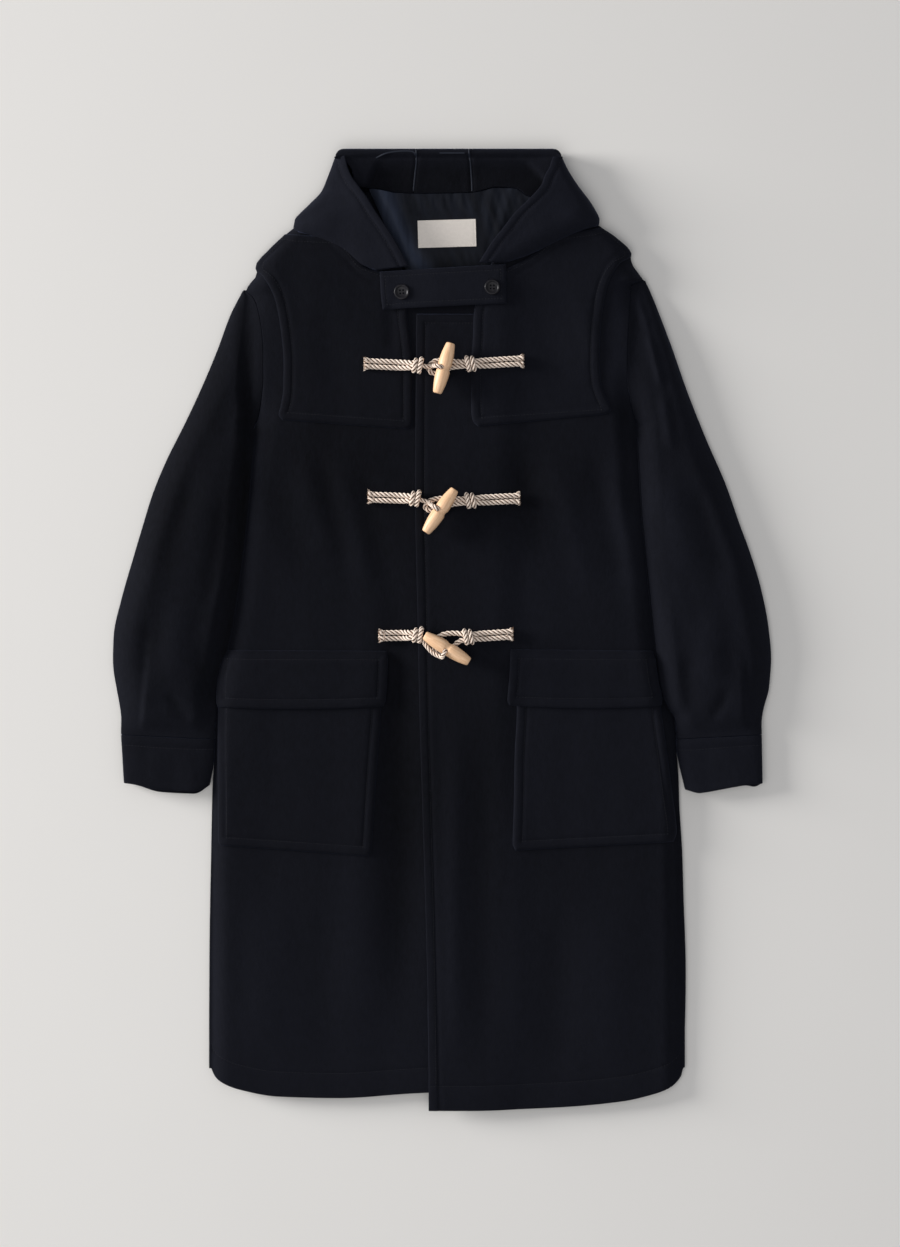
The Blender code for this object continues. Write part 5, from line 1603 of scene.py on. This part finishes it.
# %% Places of the fastenings
KNOT_LIFT, STRAND_APART = 8.0, 3.5
WRAP_OFFSET, WRAP_WIDE, WRAP_TALL = 3.15, 7.4, 4.8
WRAP_RADIUS, WRAP_TILT, WRAP_POINTS = 2.95, 1.6, 16
ON_CLOTH = 0.2 + ROPE_RADIUS  # height of a rope's middle over the cloth that it lies on
WHIP_INSET = 5.6  # from the sewn end to the whipping
YOKE_FOOT, YOKE_TOP, YOKE_INNER = 243, 400, 33
TOGGLE_RADIUS = 8.3
TOGGLE_STAND = 2 * ROPE_RADIUS + ROPE_GAP + 0.4 + TOGGLE_RADIUS
FASTENINGS = (
    dict(
        toggle=((10.8, 343), (-6, 281)),
        toggle_end=(-92, 318.5), toggle_knot=(-29, 315.5), loop_end=(96.5, 321.5), loop_knot=(34, 317.5),
        bight=((15, 320.5), (4, 322), (-8, 321), (-14.5, 316), (-15, 310), (-9, 306.5), (1, 309), (13, 314)),
        strand=((-23, 315), (-17, 314), (-12, 314.5), (-6, 314.5), (0, 313)),
    ),
    dict(
        toggle=((15.6, 168), (-19.7, 116)),
        toggle_end=(-87.5, 159), toggle_knot=(-32, 157), loop_end=(92, 157.5), loop_knot=(34, 154.5),
        bight=(
            (15, 156.5), (2, 157.5), (-10, 156), (-18, 152), (-19.5, 146.5), (-14, 143), (0, 146), (14, 150.5)
        ),
        strand=((-26, 155.5), (-21, 154), (-16, 152), (-9, 147), (-2, 142)),
    ),
    dict(
        toggle=((-20, -6.5), (32, -37.5)),
        toggle_end=(-74.5, -7), toggle_knot=(-29, -6), loop_end=(84, -5), loop_knot=(31.5, -8.3),
        bight=((19, -4), (5, -4.5), (-5, -9), (-10, -17), (-7, -24), (2, -26.5), (11, -22), (21, -13.5)),
        strand=((-24, -11), (-18, -20), (-10, -28), (-2.5, -33), (6, -22)),
    ),
)


# %% Heights and ends of a cord
def cloth_under(x, y):
    """Highest cloth under a cord or toggle."""
    on_left = x > FRONT_EDGE["left"](min(y, LEFT_TOP)) - 5
    height = float(front_height("left" if on_left else "right", np.float64(x), np.float64(y)))
    on_yoke = YOKE_FOOT < y < YOKE_TOP and abs(x) > YOKE_INNER
    return height + (LAY_GAP + PATCH_WOOL if on_yoke else 0.0)


def highest_near(x, y, reach=6.0):
    return max(cloth_under(x + dx, y) for dx in (-reach, -reach / 2, 0, reach / 2, reach))


def knot_height(knot):
    return highest_near(knot[0], knot[1], 9) + KNOT_LIFT


def doubled(end, knot, upper):
    """One strand of the doubled rope, from its sewn end into the knot."""
    points = []
    for share in (0, 0.07, 0.25, 0.45, 0.62, 0.78, 0.9, 1):
        x, y = mix(end[0], knot[0], share), mix(end[1], knot[1], share)
        flare = 0.8 if share == 0 else 0.0
        y += (1 if upper else -1) * (STRAND_APART + flare - 1.2 * smooth((share - 0.7) / 0.3))
        on_cloth = highest_near(x, y) + ON_CLOTH
        points.append((x, y, float(mix(on_cloth, knot_height(knot), smooth((share - 0.6) / 0.4)))))
    return points


def open_ends(distance, length):
    """How far the strands open at a sewn end: they flare over its last 5 mm, past the whipping."""
    return 1 + 0.34 * smooth((4.8 - distance) / 4.8) - 0.10 * bump(distance - 6.2, 1.4)


def open_both_ends(distance, length):
    return np.maximum(open_ends(distance, length), open_ends(length - distance, length))


def finish_end(rope, end, knot, seed):
    """Frays both strands of a doubled rope at its sewn end, and whips them together."""
    direction = np.array([end[0] - knot[0], end[1] - knot[1], 0.0])
    direction /= np.linalg.norm(direction)
    across = np.array([-direction[1], direction[0], 0.0])
    for upper in (True, False):
        x, y, z = doubled(end, knot, upper)[0]
        rope.fray((x, y, z), direction, ROPE_RADIUS * 1.25, seed + upper)
    level = highest_near(*end) + ON_CLOTH
    centre = (end[0] - WHIP_INSET * direction[0], end[1] - WHIP_INSET * direction[1], level)
    rope.whip(centre, direction, across, STRAND_APART + 0.86 * ROPE_RADIUS, ROPE_RADIUS - 0.3)


def wrap_points(knot, offset, tilt, share=1.0):
    """One turn of rope round a knot, leaning by tilt."""
    points = []
    for i in range(WRAP_POINTS):
        angle = 2 * math.pi * i / WRAP_POINTS
        up = share * WRAP_WIDE * math.cos(angle)
        points.append((
            knot[0] + offset + tilt * up / WRAP_WIDE, knot[1] + up,
            knot_height(knot) + WRAP_TALL * math.sin(angle),
        ))
    return points


# %% [markdown]
# ## Toggles
# A toggle is turned birch with a shallow waist, and a hole across it for its strand.

# %% The toggle's profile and its birch
TOGGLE_PROFILE = (  # place along the axis, radius
    (-31, 0.0), (-31, 4.0), (-30.6, 4.8), (-29.6, 5.4), (-26, 6.2), (-20, 7.3), (-14, 8.0), (-9, 8.3),
    (-4.2, 8.25), (-3.2, 8.0), (-2.2, 7.4), (-1.2, 7.1), (0, 7.05), (1.2, 7.1), (2.2, 7.4), (3.2, 8.0),
    (4.2, 8.25), (9, 8.3), (14, 8.0), (20, 7.3), (26, 6.2), (29.6, 5.4), (30.6, 4.8), (31, 4.0),
    (31, 0.0),
)
TOGGLE_HOLE = 3.3
TOGGLE_SIDES, DRILL_SIDES = 56, 28


def birch_colour(start):
    own = start.stored("own", 1)
    rings = start.noise(start.stretch(own, 1.0, 1.0, 0.07), 0.42, 4, 0.6, 0.3)
    pores = start.noise(start.stretch(own, 1.0, 1.0, 0.05), 3.4, 3, 0.7)
    shade = (rings.between(0.3, 0.72) * 0.75 + pores.between(0.35, 0.75) * 0.3).clamp()
    return shade.blend((0.95, 0.655, 0.42, 1), (0.66, 0.38, 0.20, 1))


birch = finish_of(
    "turned birch", birch_colour, {"Roughness": 0.42, "Specular IOR Level": 0.45},
    Normal=lambda start: start.relief(
        start.noise(start.stretch(start.stored("own", 1), 1.0, 1.0, 0.05), 3.0, 3, 0.7), 0.15, 0.0002,
    ),
)


# %% Turning and drilling
def turned(name, profile, sides, finish):
    """A profile of (height, radius) turned about Z, in millimetres."""
    points, faces, rings = [], [], []
    for z, radius in profile:
        first = len(points)
        count = 1 if radius == 0 else sides
        angles = [2 * math.pi * i / sides for i in range(count)]
        points += [(radius * math.cos(a), radius * math.sin(a), z) for a in angles]
        rings.append([first + i for i in range(count)])
    for low, high in zip(rings, rings[1:]):
        for i in range(sides):
            j = (i + 1) % sides
            corners = [low[i % len(low)], low[j % len(low)], high[j % len(high)], high[i % len(high)]]
            faces.append(list(dict.fromkeys(corners)))
    return mesh_object(name, points, faces, finish)


def cut(target, cutter):
    """Takes the cutter's shape out of the target, and the cutter out of the scene."""
    modifier = target.modifiers.new("Cut", "BOOLEAN")
    modifier.operation, modifier.solver, modifier.object = "DIFFERENCE", "EXACT", cutter
    graph = bpy.context.evaluated_depsgraph_get()
    mesh = bpy.data.meshes.new_from_object(target.evaluated_get(graph))
    target.modifiers.clear()
    target.data = mesh
    bpy.data.objects.remove(cutter, do_unlink=True)


def keep_own_place(piece):
    """Keeps each point's place before the piece is moved, for a grain that follows the piece."""
    mesh = piece.data
    values = np.empty(len(mesh.vertices) * 3, np.float32)
    mesh.vertices.foreach_get("co", values)
    layer = mesh.attributes.new("own", "FLOAT_VECTOR", "POINT")
    layer.data.foreach_set("vector", values / MM)


def move_mesh(piece, matrix_mm):
    scale = Matrix.Scale(MM, 4)
    piece.data.transform(scale @ matrix_mm @ scale.inverted())


def shade(piece, degrees):
    """Smooth, but sharp where faces meet at more than this angle."""
    piece.data.shade_smooth()
    piece.data.set_sharp_from_angle(angle=math.radians(degrees))


def place_toggle(fastening):
    first, last = (Vector((*point, 0)) for point in fastening["toggle"])
    middle = (first + last) / 2
    middle.z = highest_near(middle.x, middle.y) + TOGGLE_STAND
    away = (first - last).normalized()
    route = [Vector((x, y, 0)) for x, y in fastening["strand"]]
    across = (route[-1] - route[-2]).normalized()
    across = (across - across.dot(away) * away).normalized()
    return middle, away, across


# %% Make the toggles
HOLE_TILT = math.radians(32)  # the hole opens on the toggle's face, turned this far towards the strand


def around_toggle(middle, across, degrees, radius):
    """A place round the toggle's waist, by its angle from straight up towards the strand's side."""
    angle = math.radians(degrees)
    return middle - across * (math.sin(angle) * radius) + Vector((0, 0, math.cos(angle) * radius))


def make_toggle(index, fastening):
    middle, away, across = place_toggle(fastening)
    made = turned(f"coat_toggle_{index}", TOGGLE_PROFILE, TOGGLE_SIDES, birch)
    turn = away.to_track_quat("Z", "X").to_matrix().to_4x4()
    hole = across * math.sin(HOLE_TILT) - Vector((0, 0, math.cos(HOLE_TILT)))
    local = turn.inverted() @ hole
    drill = turned("drill", ((-20, 0), (-20, TOGGLE_HOLE), (20, TOGGLE_HOLE), (20, 0)), DRILL_SIDES, birch)
    move_mesh(drill, local.to_track_quat("Z", "X").to_matrix().to_4x4())
    cut(made, drill)
    keep_own_place(made)
    move_mesh(made, Matrix.Translation(middle) @ turn)
    shade(made, 40)
    return made


toggles = [make_toggle(index, fastening) for index, fastening in enumerate(FASTENINGS, 1)]
show("toggles", toggles)


# %% [markdown]
# ## Cords
# A toggle's cord is doubled up to its knot and goes on as one strand. A loop's cord is one rope that
# bends back.

# %% Make the cords
def make_toggle_cord(index, fastening):
    end, knot = fastening["toggle_end"], fastening["toggle_knot"]
    middle, _, across = place_toggle(fastening)
    made = RopeMesh()
    made.rope(doubled(end, knot, True), flare=open_ends)
    made.rope(doubled(end, knot, False), start_turn=1.0, flare=open_ends)
    finish_end(made, end, knot, 100 * index)
    top = highest_near(-12, knot[1]) + ROPE_GAP + 2 * ROPE_RADIUS + 0.5 + STRAND_RADIUS
    level = knot_height(knot)
    heights = (level, mix(level, top, 0.7), top)
    points = [(*knot, level)] + [(x, y, z) for (x, y), z in zip(fastening["strand"][:-1], heights)]
    tilt = math.degrees(HOLE_TILT)
    for degrees, radius in ((92, 12.2), (68, 11.2), (46, 10.6), (tilt, 8.4), (tilt, 5.0), (tilt, 1.0)):
        points.append(tuple(around_toggle(middle, across, degrees, radius)))
    made.rope(points, STRAND_RADIUS)
    for offset, tall in ((-WRAP_OFFSET, 0.86), (WRAP_OFFSET, 1.04)):
        made.rope(wrap_points(knot, offset, WRAP_TILT, tall), WRAP_RADIUS, closed=True)
    return made.finish(f"coat_toggle_cord_{index}", rope_finish)


def make_loop_cord(index, fastening):
    end, knot = fastening["loop_end"], fastening["loop_knot"]
    bight = [(x, y, highest_near(x, y) + ROPE_GAP + ROPE_RADIUS) for x, y in fastening["bight"]]
    made = RopeMesh()
    made.rope([*doubled(end, knot, True), *bight, *doubled(end, knot, False)[::-1]], flare=open_both_ends)
    finish_end(made, end, knot, 100 * index + 50)
    for offset, tall in ((-WRAP_OFFSET, 1.0), (WRAP_OFFSET, 0.92)):
        made.rope(wrap_points(knot, offset, -WRAP_TILT, tall), WRAP_RADIUS, closed=True)
    return made.finish(f"coat_loop_cord_{index}", rope_finish)


toggle_cords = [make_toggle_cord(index, fastening) for index, fastening in enumerate(FASTENINGS, 1)]
loop_cords = [make_loop_cord(index, fastening) for index, fastening in enumerate(FASTENINGS, 1)]
show("cords", toggle_cords + loop_cords)

# %% [markdown]
# ## Buttons
# Two dark four-hole buttons hold the throat tab. A button is turned, with a raised rim round a dish, then
# drilled.

# %% Make the buttons
BUTTONS = {"right": (-48, 403.8), "left": (60, 409.2)}
BUTTON_PROFILE = (
    (0, 0.0), (0, 7.2), (0.4, 8.2), (1.2, 9.1), (1.9, 9.3), (2.6, 9.15), (3.1, 8.6), (3.3, 7.9), (3.1, 7.2),
    (2.5, 6.6), (2.05, 5.8), (1.9, 4.6), (1.85, 0.0),
)
HOLE_OFFSET, HOLE_RADIUS = 1.9, 1.15
BUTTON_SIDES, HOLE_SIDES = 48, 14

horn = finish_of(
    "dark horn",
    lambda start: start.noise(start.place(), 120, 3, 0.6, 1.5).between(0.35, 0.75).blend(
        (0.004, 0.004, 0.006, 1), (0.014, 0.013, 0.016, 1)
    ),
    {"Roughness": 0.34, "Specular IOR Level": 0.2},
)


def make_button(side):
    x, y = BUTTONS[side]

    def surface(at_x, at_y):
        return float(tab_surface(np.float64(at_x), np.float64(at_y)))

    slope_x = (surface(x + 4, y) - surface(x - 4, y)) / 8
    slope_y = (surface(x, y + 4) - surface(x, y - 4)) / 8
    normal = Vector((-slope_x, -slope_y, 1)).normalized()
    base = surface(x, y) + TAB_STAND + PATCH_WOOL + 0.5
    made = turned(f"coat_button_{side}", BUTTON_PROFILE, BUTTON_SIDES, horn)
    for across in (-1, 1):
        for up in (-1, 1):
            drill = turned("drill", ((-2, 0), (-2, HOLE_RADIUS), (6, HOLE_RADIUS), (6, 0)), HOLE_SIDES, horn)
            move_mesh(drill, Matrix.Translation((across * HOLE_OFFSET, up * HOLE_OFFSET, 0)))
            cut(made, drill)
    turn = normal.to_track_quat("Z", "Y").to_matrix().to_4x4()
    move_mesh(made, Matrix.Translation((x, y, base)) @ turn)
    shade(made, 45)
    return made


buttons = {side: make_button(side) for side in SIDES}
show("buttons", buttons.values())

# %% [markdown]
# ## Stitches and tape
# What repeats along a path is laid by a node tree. One tree sets small beads of thread at even steps
# along every stitched line. The other sweeps a flat tape over the hood's inner seams. Both read plain
# chains of edges, and what they make is kept as an ordinary mesh.

# %% Node trees that follow a path
class PathTree:
    """A geometry node tree whose first input is a path, with further named inputs."""

    def __init__(self, name, **inputs):
        self.tree = bpy.data.node_groups.new(name, "GeometryNodeTree")
        self.tree.interface.new_socket("Path", in_out="INPUT", socket_type="NodeSocketGeometry")
        for label, kind in inputs.items():
            self.tree.interface.new_socket(label, in_out="INPUT", socket_type=kind)
        self.tree.interface.new_socket("Result", in_out="OUTPUT", socket_type="NodeSocketGeometry")
        self.given = self.tree.nodes.new("NodeGroupInput").outputs

    def add(self, kind, settings=None, output=0, **inputs):
        node = self.tree.nodes.new(kind)
        for key, value in (settings or {}).items():
            setattr(node, key, value)
        for key, value in inputs.items():
            named = (item for item in node.inputs if item.name.replace(" ", "_") == key and item.enabled)
            socket = next(named)
            if isinstance(value, bpy.types.NodeSocket):
                self.tree.links.new(value, socket)
            else:
                socket.default_value = value
        return node.outputs[output]

    def size(self, *halved):
        """A scale whose parts are half of these inputs."""
        parts = [
            self.add("ShaderNodeMath", {"operation": "MULTIPLY"}, Value=self.given[label]) for label in halved
        ]
        for part in parts:
            part.node.inputs[1].default_value = 0.5
        return self.add("ShaderNodeCombineXYZ", X=parts[0], Y=parts[1], Z=parts[2] if parts[2:] else 1.0)

    def end(self, geometry):
        smooth_shaded = self.add("GeometryNodeSetShadeSmooth", Geometry=geometry)
        finished = self.add("GeometryNodeSetMaterial", Geometry=smooth_shaded, Material=self.given["Finish"])
        self.tree.links.new(finished, self.tree.nodes.new("NodeGroupOutput").inputs["Result"])
        return self.tree


# %% Trees for stitches and tape
def make_stitch_tree():
    made = PathTree(
        "stitches_on_path", Spacing="NodeSocketFloat", Long="NodeSocketFloat", Wide="NodeSocketFloat",
        Tall="NodeSocketFloat", Seed="NodeSocketInt", Finish="NodeSocketMaterial",
    )
    line = made.add("GeometryNodeMeshToCurve", Mesh=made.given["Path"])
    places = made.add(
        "GeometryNodeResampleCurve", {"mode": "LENGTH"}, Curve=line, Length=made.given["Spacing"]
    )
    bead = made.add("GeometryNodeMeshUVSphere", Segments=6, Rings=3, Radius=1.0)
    shaped = made.add("GeometryNodeTransform", Geometry=bead, Scale=made.size("Long", "Wide", "Tall"))
    turn = made.add(
        "FunctionNodeAlignRotationToVector", {"axis": "X"}, Vector=made.add("GeometryNodeInputTangent")
    )
    vary = made.add("FunctionNodeRandomValue", output=1, Min=0.85, Max=1.1, Seed=made.given["Seed"])
    put = made.add("GeometryNodeInstanceOnPoints", Points=places, Instance=shaped, Rotation=turn, Scale=vary)
    return made.end(made.add("GeometryNodeRealizeInstances", Geometry=put))


def make_tape_tree():
    made = PathTree(
        "tape_on_path", Wide="NodeSocketFloat", Tall="NodeSocketFloat", Finish="NodeSocketMaterial"
    )
    line = made.add("GeometryNodeMeshToCurve", Mesh=made.given["Path"])
    upright = made.add("GeometryNodeSetCurveNormal", {"mode": "Z_UP"}, Curve=line)
    ring = made.add("GeometryNodeCurvePrimitiveCircle", Resolution=10, Radius=1.0)
    flat = made.add("GeometryNodeTransform", Geometry=ring, Scale=made.size("Wide", "Tall"))
    swept = made.add("GeometryNodeCurveToMesh", Curve=upright, Profile_Curve=flat, Fill_Caps=True)
    return made.end(made.add("GeometryNodeRealizeInstances", Geometry=swept))


def follow(name, paths, tree, finish, **inputs):
    """A mesh that a node tree makes along chains of points in millimetres."""
    points, edges = [], []
    for path in paths:
        first = len(points)
        points += [tuple(np.array(point, float) * MM) for point in path]
        edges += [(first + i, first + i + 1) for i in range(len(path) - 1)]
    chain = bpy.data.meshes.new(name)
    chain.from_pydata(points, edges, [])
    made = place_object(name, chain)
    modifier = made.modifiers.new("Follow", "NODES")
    modifier.node_group = tree
    values = {**inputs, "Finish": finish}
    for item in tree.interface.items_tree:
        if item.in_out == "INPUT" and item.name in values:
            modifier[item.identifier] = values[item.name]
    graph = bpy.context.evaluated_depsgraph_get()
    result = bpy.data.meshes.new_from_object(made.evaluated_get(graph))
    made.modifiers.clear()
    made.data = result
    result.materials.clear()
    result.materials.append(finish)
    return made


stitch_tree, tape_tree = make_stitch_tree(), make_tape_tree()


# %% [markdown]
# ## Stitching
# Every sheet kept its outer face, whose grid has a line along each groove. The stitches follow those
# lines.

# %% Chains for the stitches
def lifted(points, lift=0.12):
    return np.asarray(points) + np.array((0, 0, lift))


def patch_stitches(name, line):
    """Chains along the grooves of a patch: its grid has a line there on every side."""
    face, inside = lifted(OUTER_FACE[name]), slice(line, -line)
    return [face[line, inside], face[-1 - line, inside], face[inside, line], face[inside, -1 - line]]


def hood_stitches(side):
    """A chain along the hood's opening, at an even distance from its edge."""
    chain = []
    for row in OUTER_FACE[f"coat_hood_{side}_fold"][6:-6]:
        upper = row[len(row) // 2:]
        away = np.linalg.norm(upper - upper[-1], axis=1)
        chain.append([np.interp(HOOD_STITCH, away[::-1], upper[::-1, k]) for k in range(3)])
    return lifted(chain, 0.2)


# %% Stitch the seams
groove = EDGE_LINES.index(STITCH_INSET)
hem_groove = HEM_LINES.index(HEM_INSET)
stitch_lines = []
for side in SIDES:
    for piece in ("yoke", "pocket", "pocket_flap"):
        stitch_lines += patch_stitches(f"coat_{piece}_{side}", groove)
    front = OUTER_FACE[f"coat_front_{side}"]
    stitch_lines.append(lifted(front[-1 - hem_groove, 6:-6]))
    cuff = OUTER_FACE[f"coat_cuff_{side}"]
    upper_half = slice(2, CUFF_COUNT // 2 - 2)
    from_seam = np.linalg.norm(cuff - cuff[:1], axis=2).mean(1)
    stitch_lines.append(lifted(cuff[np.abs(from_seam - CUFF_STITCH).argmin(), upper_half]))
    stitch_lines.append(hood_stitches(side))
stitch_lines += patch_stitches("coat_throat_tab", TAB_LINES.index(TAB_STITCH))
left = OUTER_FACE["coat_front_left"]
first_row = int(np.abs(left[:, -1, 1] - (LEFT_TOP - STITCH_INSET)).argmin())
stitch_lines.append(lifted(left[first_row:-1 - hem_groove, -1 - groove]))
stitch_lines.append(lifted(left[first_row, -1 - groove : -30 : -1]))
stitches = follow(
    "coat_stitches", stitch_lines, stitch_tree, thread,
    Spacing=0.0036, Long=0.0026, Wide=0.00062, Tall=0.0005, Seed=7,
)
show("stitches", [stitches])

# %% [markdown]
# ## Taping
# Narrow satin tape binds the seams between the hood's panels.

# %% Tape the hood's inner seams
tape = finish_of(
    "navy tape",
    lambda start: start.noise(start.place(), 900, 2).blend(
        (0.007, 0.009, 0.015, 1), (0.015, 0.019, 0.031, 1)
    ),
    {"Roughness": 0.55, "Specular IOR Level": 0.2},
)


def on_crown(points):
    return [(x, y, float(crown_height(np.float64(x), np.float64(y))) + 0.35) for x, y in points]


seam_heights = np.linspace(527, 575.2, 44)
tape_lines = [on_crown([(float(PANEL_SEAMS[side](y)), y) for y in seam_heights]) for side in SIDES]
over_facet = smooth_path([(x, y, 0) for x, y in (
    (-31.5, 568), (-34, 571.5), (-42, 572.6), (-56.4, 571.8), (-68, 569.5), (-79, 565)
)], 1.5)[0]
tape_lines.append(on_crown(over_facet[:, :2]))
tape_lines.append(on_crown([(x, 570.2) for x in np.linspace(-3, 27, 20)]))
tapes = follow("coat_hood_seam_tape", tape_lines, tape_tree, tape, Wide=0.0019, Tall=0.0009)
show("tape", [tapes])

# %% [markdown]
# ## Which solid each piece dresses
# Each piece rides the coat and replaces its plain solid.

# %% Tie every piece to the coat
for side in SIDES:
    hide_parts(f"front_{side}")
    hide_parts(f"yoke_{side}")
    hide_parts(f"pocket_{side}")
    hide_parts(f"pocket_flap_{side}")
    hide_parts(f"sleeve_{side}_upper")
    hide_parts(f"sleeve_{side}_under")
    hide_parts(f"cuff_{side}")
    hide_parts(f"hood_{side}")
    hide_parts(f"hood_{side}")
    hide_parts(f"button_{side}")
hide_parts("back")
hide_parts("hood_centre")
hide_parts("throat_tab")
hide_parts("lining")
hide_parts("neck_label")
for index in range(3):
    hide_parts(f"toggle_{index + 1}")
    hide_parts(f"toggle_cord_{index + 1}")
    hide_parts(f"loop_cord_{index + 1}")
for piece in list(bpy.data.objects):
    if piece.name.startswith("coat_"):
        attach(piece, "root")

# %% [markdown]

# %% [markdown]
# ## Table
# The coat lies on a pale table. The table's face is a hair lower than the coat's underside, so that no two
# faces share a place.

# %% Lay the table
TABLE_HALF, TABLE_DROP = 3.0, 0.0004


def make_table():
    mesh = bpy.data.meshes.new("table")
    signs = ((-1, -1), (1, -1), (1, 1), (-1, 1))
    corners = [(across * TABLE_HALF, up * TABLE_HALF, 0) for across, up in signs]
    mesh.from_pydata(corners, [], [(0, 1, 2, 3)])
    mesh.materials.append(finish_of(
        "pale paper",
        lambda start: start.noise(start.place(), 3, 2).blend(
            (0.74, 0.725, 0.70, 1), (0.76, 0.745, 0.72, 1)
        ),
        {"Roughness": 0.9, "Specular IOR Level": 0.1},
    ))
    made = place_object("table", mesh)
    made.location.z = -TABLE_DROP


make_table()
print("table", 2 * TABLE_HALF, "m wide")

# %% [markdown]
# ## Light and camera
# The window's light comes in low from the side, so every stitched groove and fold throws a soft shade. A
# weak light above and a dim even world keep the dark wool readable. The camera is so high that the coat's
# sides hardly show.

# %% Lights and camera
def area_light(name, place, size, power, colour):
    """A round light that points at the coat."""
    light = bpy.data.lights.new(name, "AREA")
    light.shape, light.size, light.energy, light.color = "DISK", size, power, colour
    made = place_object(name, light)
    made.location = place
    made.rotation_euler = (-Vector(place)).to_track_quat("-Z", "Y").to_euler()


area_light("window", (-5.8, 1.6, 1.5), size=2.5, power=548, colour=(1.0, 0.985, 0.97))
area_light("ceiling", (-0.5, -0.7, 3.4), size=3.4, power=42, colour=(1.0, 0.99, 0.98))

world = bpy.data.worlds.new("studio")
world.use_nodes = True
world.node_tree.nodes["Background"].inputs["Color"].default_value = (0.93, 0.95, 1.0, 1)
world.node_tree.nodes["Background"].inputs["Strength"].default_value = 0.338
bpy.context.scene.world = world
bpy.context.scene.view_settings.view_transform = "Standard"

CAMERA_HEIGHT, CLOTH_HEIGHT = 4.0, 0.012
FIELD_TALL = 1.4964  # how much of the table's length the camera sees, at the cloth's height
VIEW_CENTRE = (0.0096, 0.0078)
lens = bpy.data.cameras.new("camera")
lens.sensor_fit = "VERTICAL"
lens.angle_y = 2 * math.atan(FIELD_TALL / 2 / (CAMERA_HEIGHT - CLOTH_HEIGHT))
camera = place_object("camera", lens)
camera.location = (*VIEW_CENTRE, CAMERA_HEIGHT)
bpy.context.scene.camera = camera
print("camera", CAMERA_HEIGHT, "m up, sees", FIELD_TALL, "m")
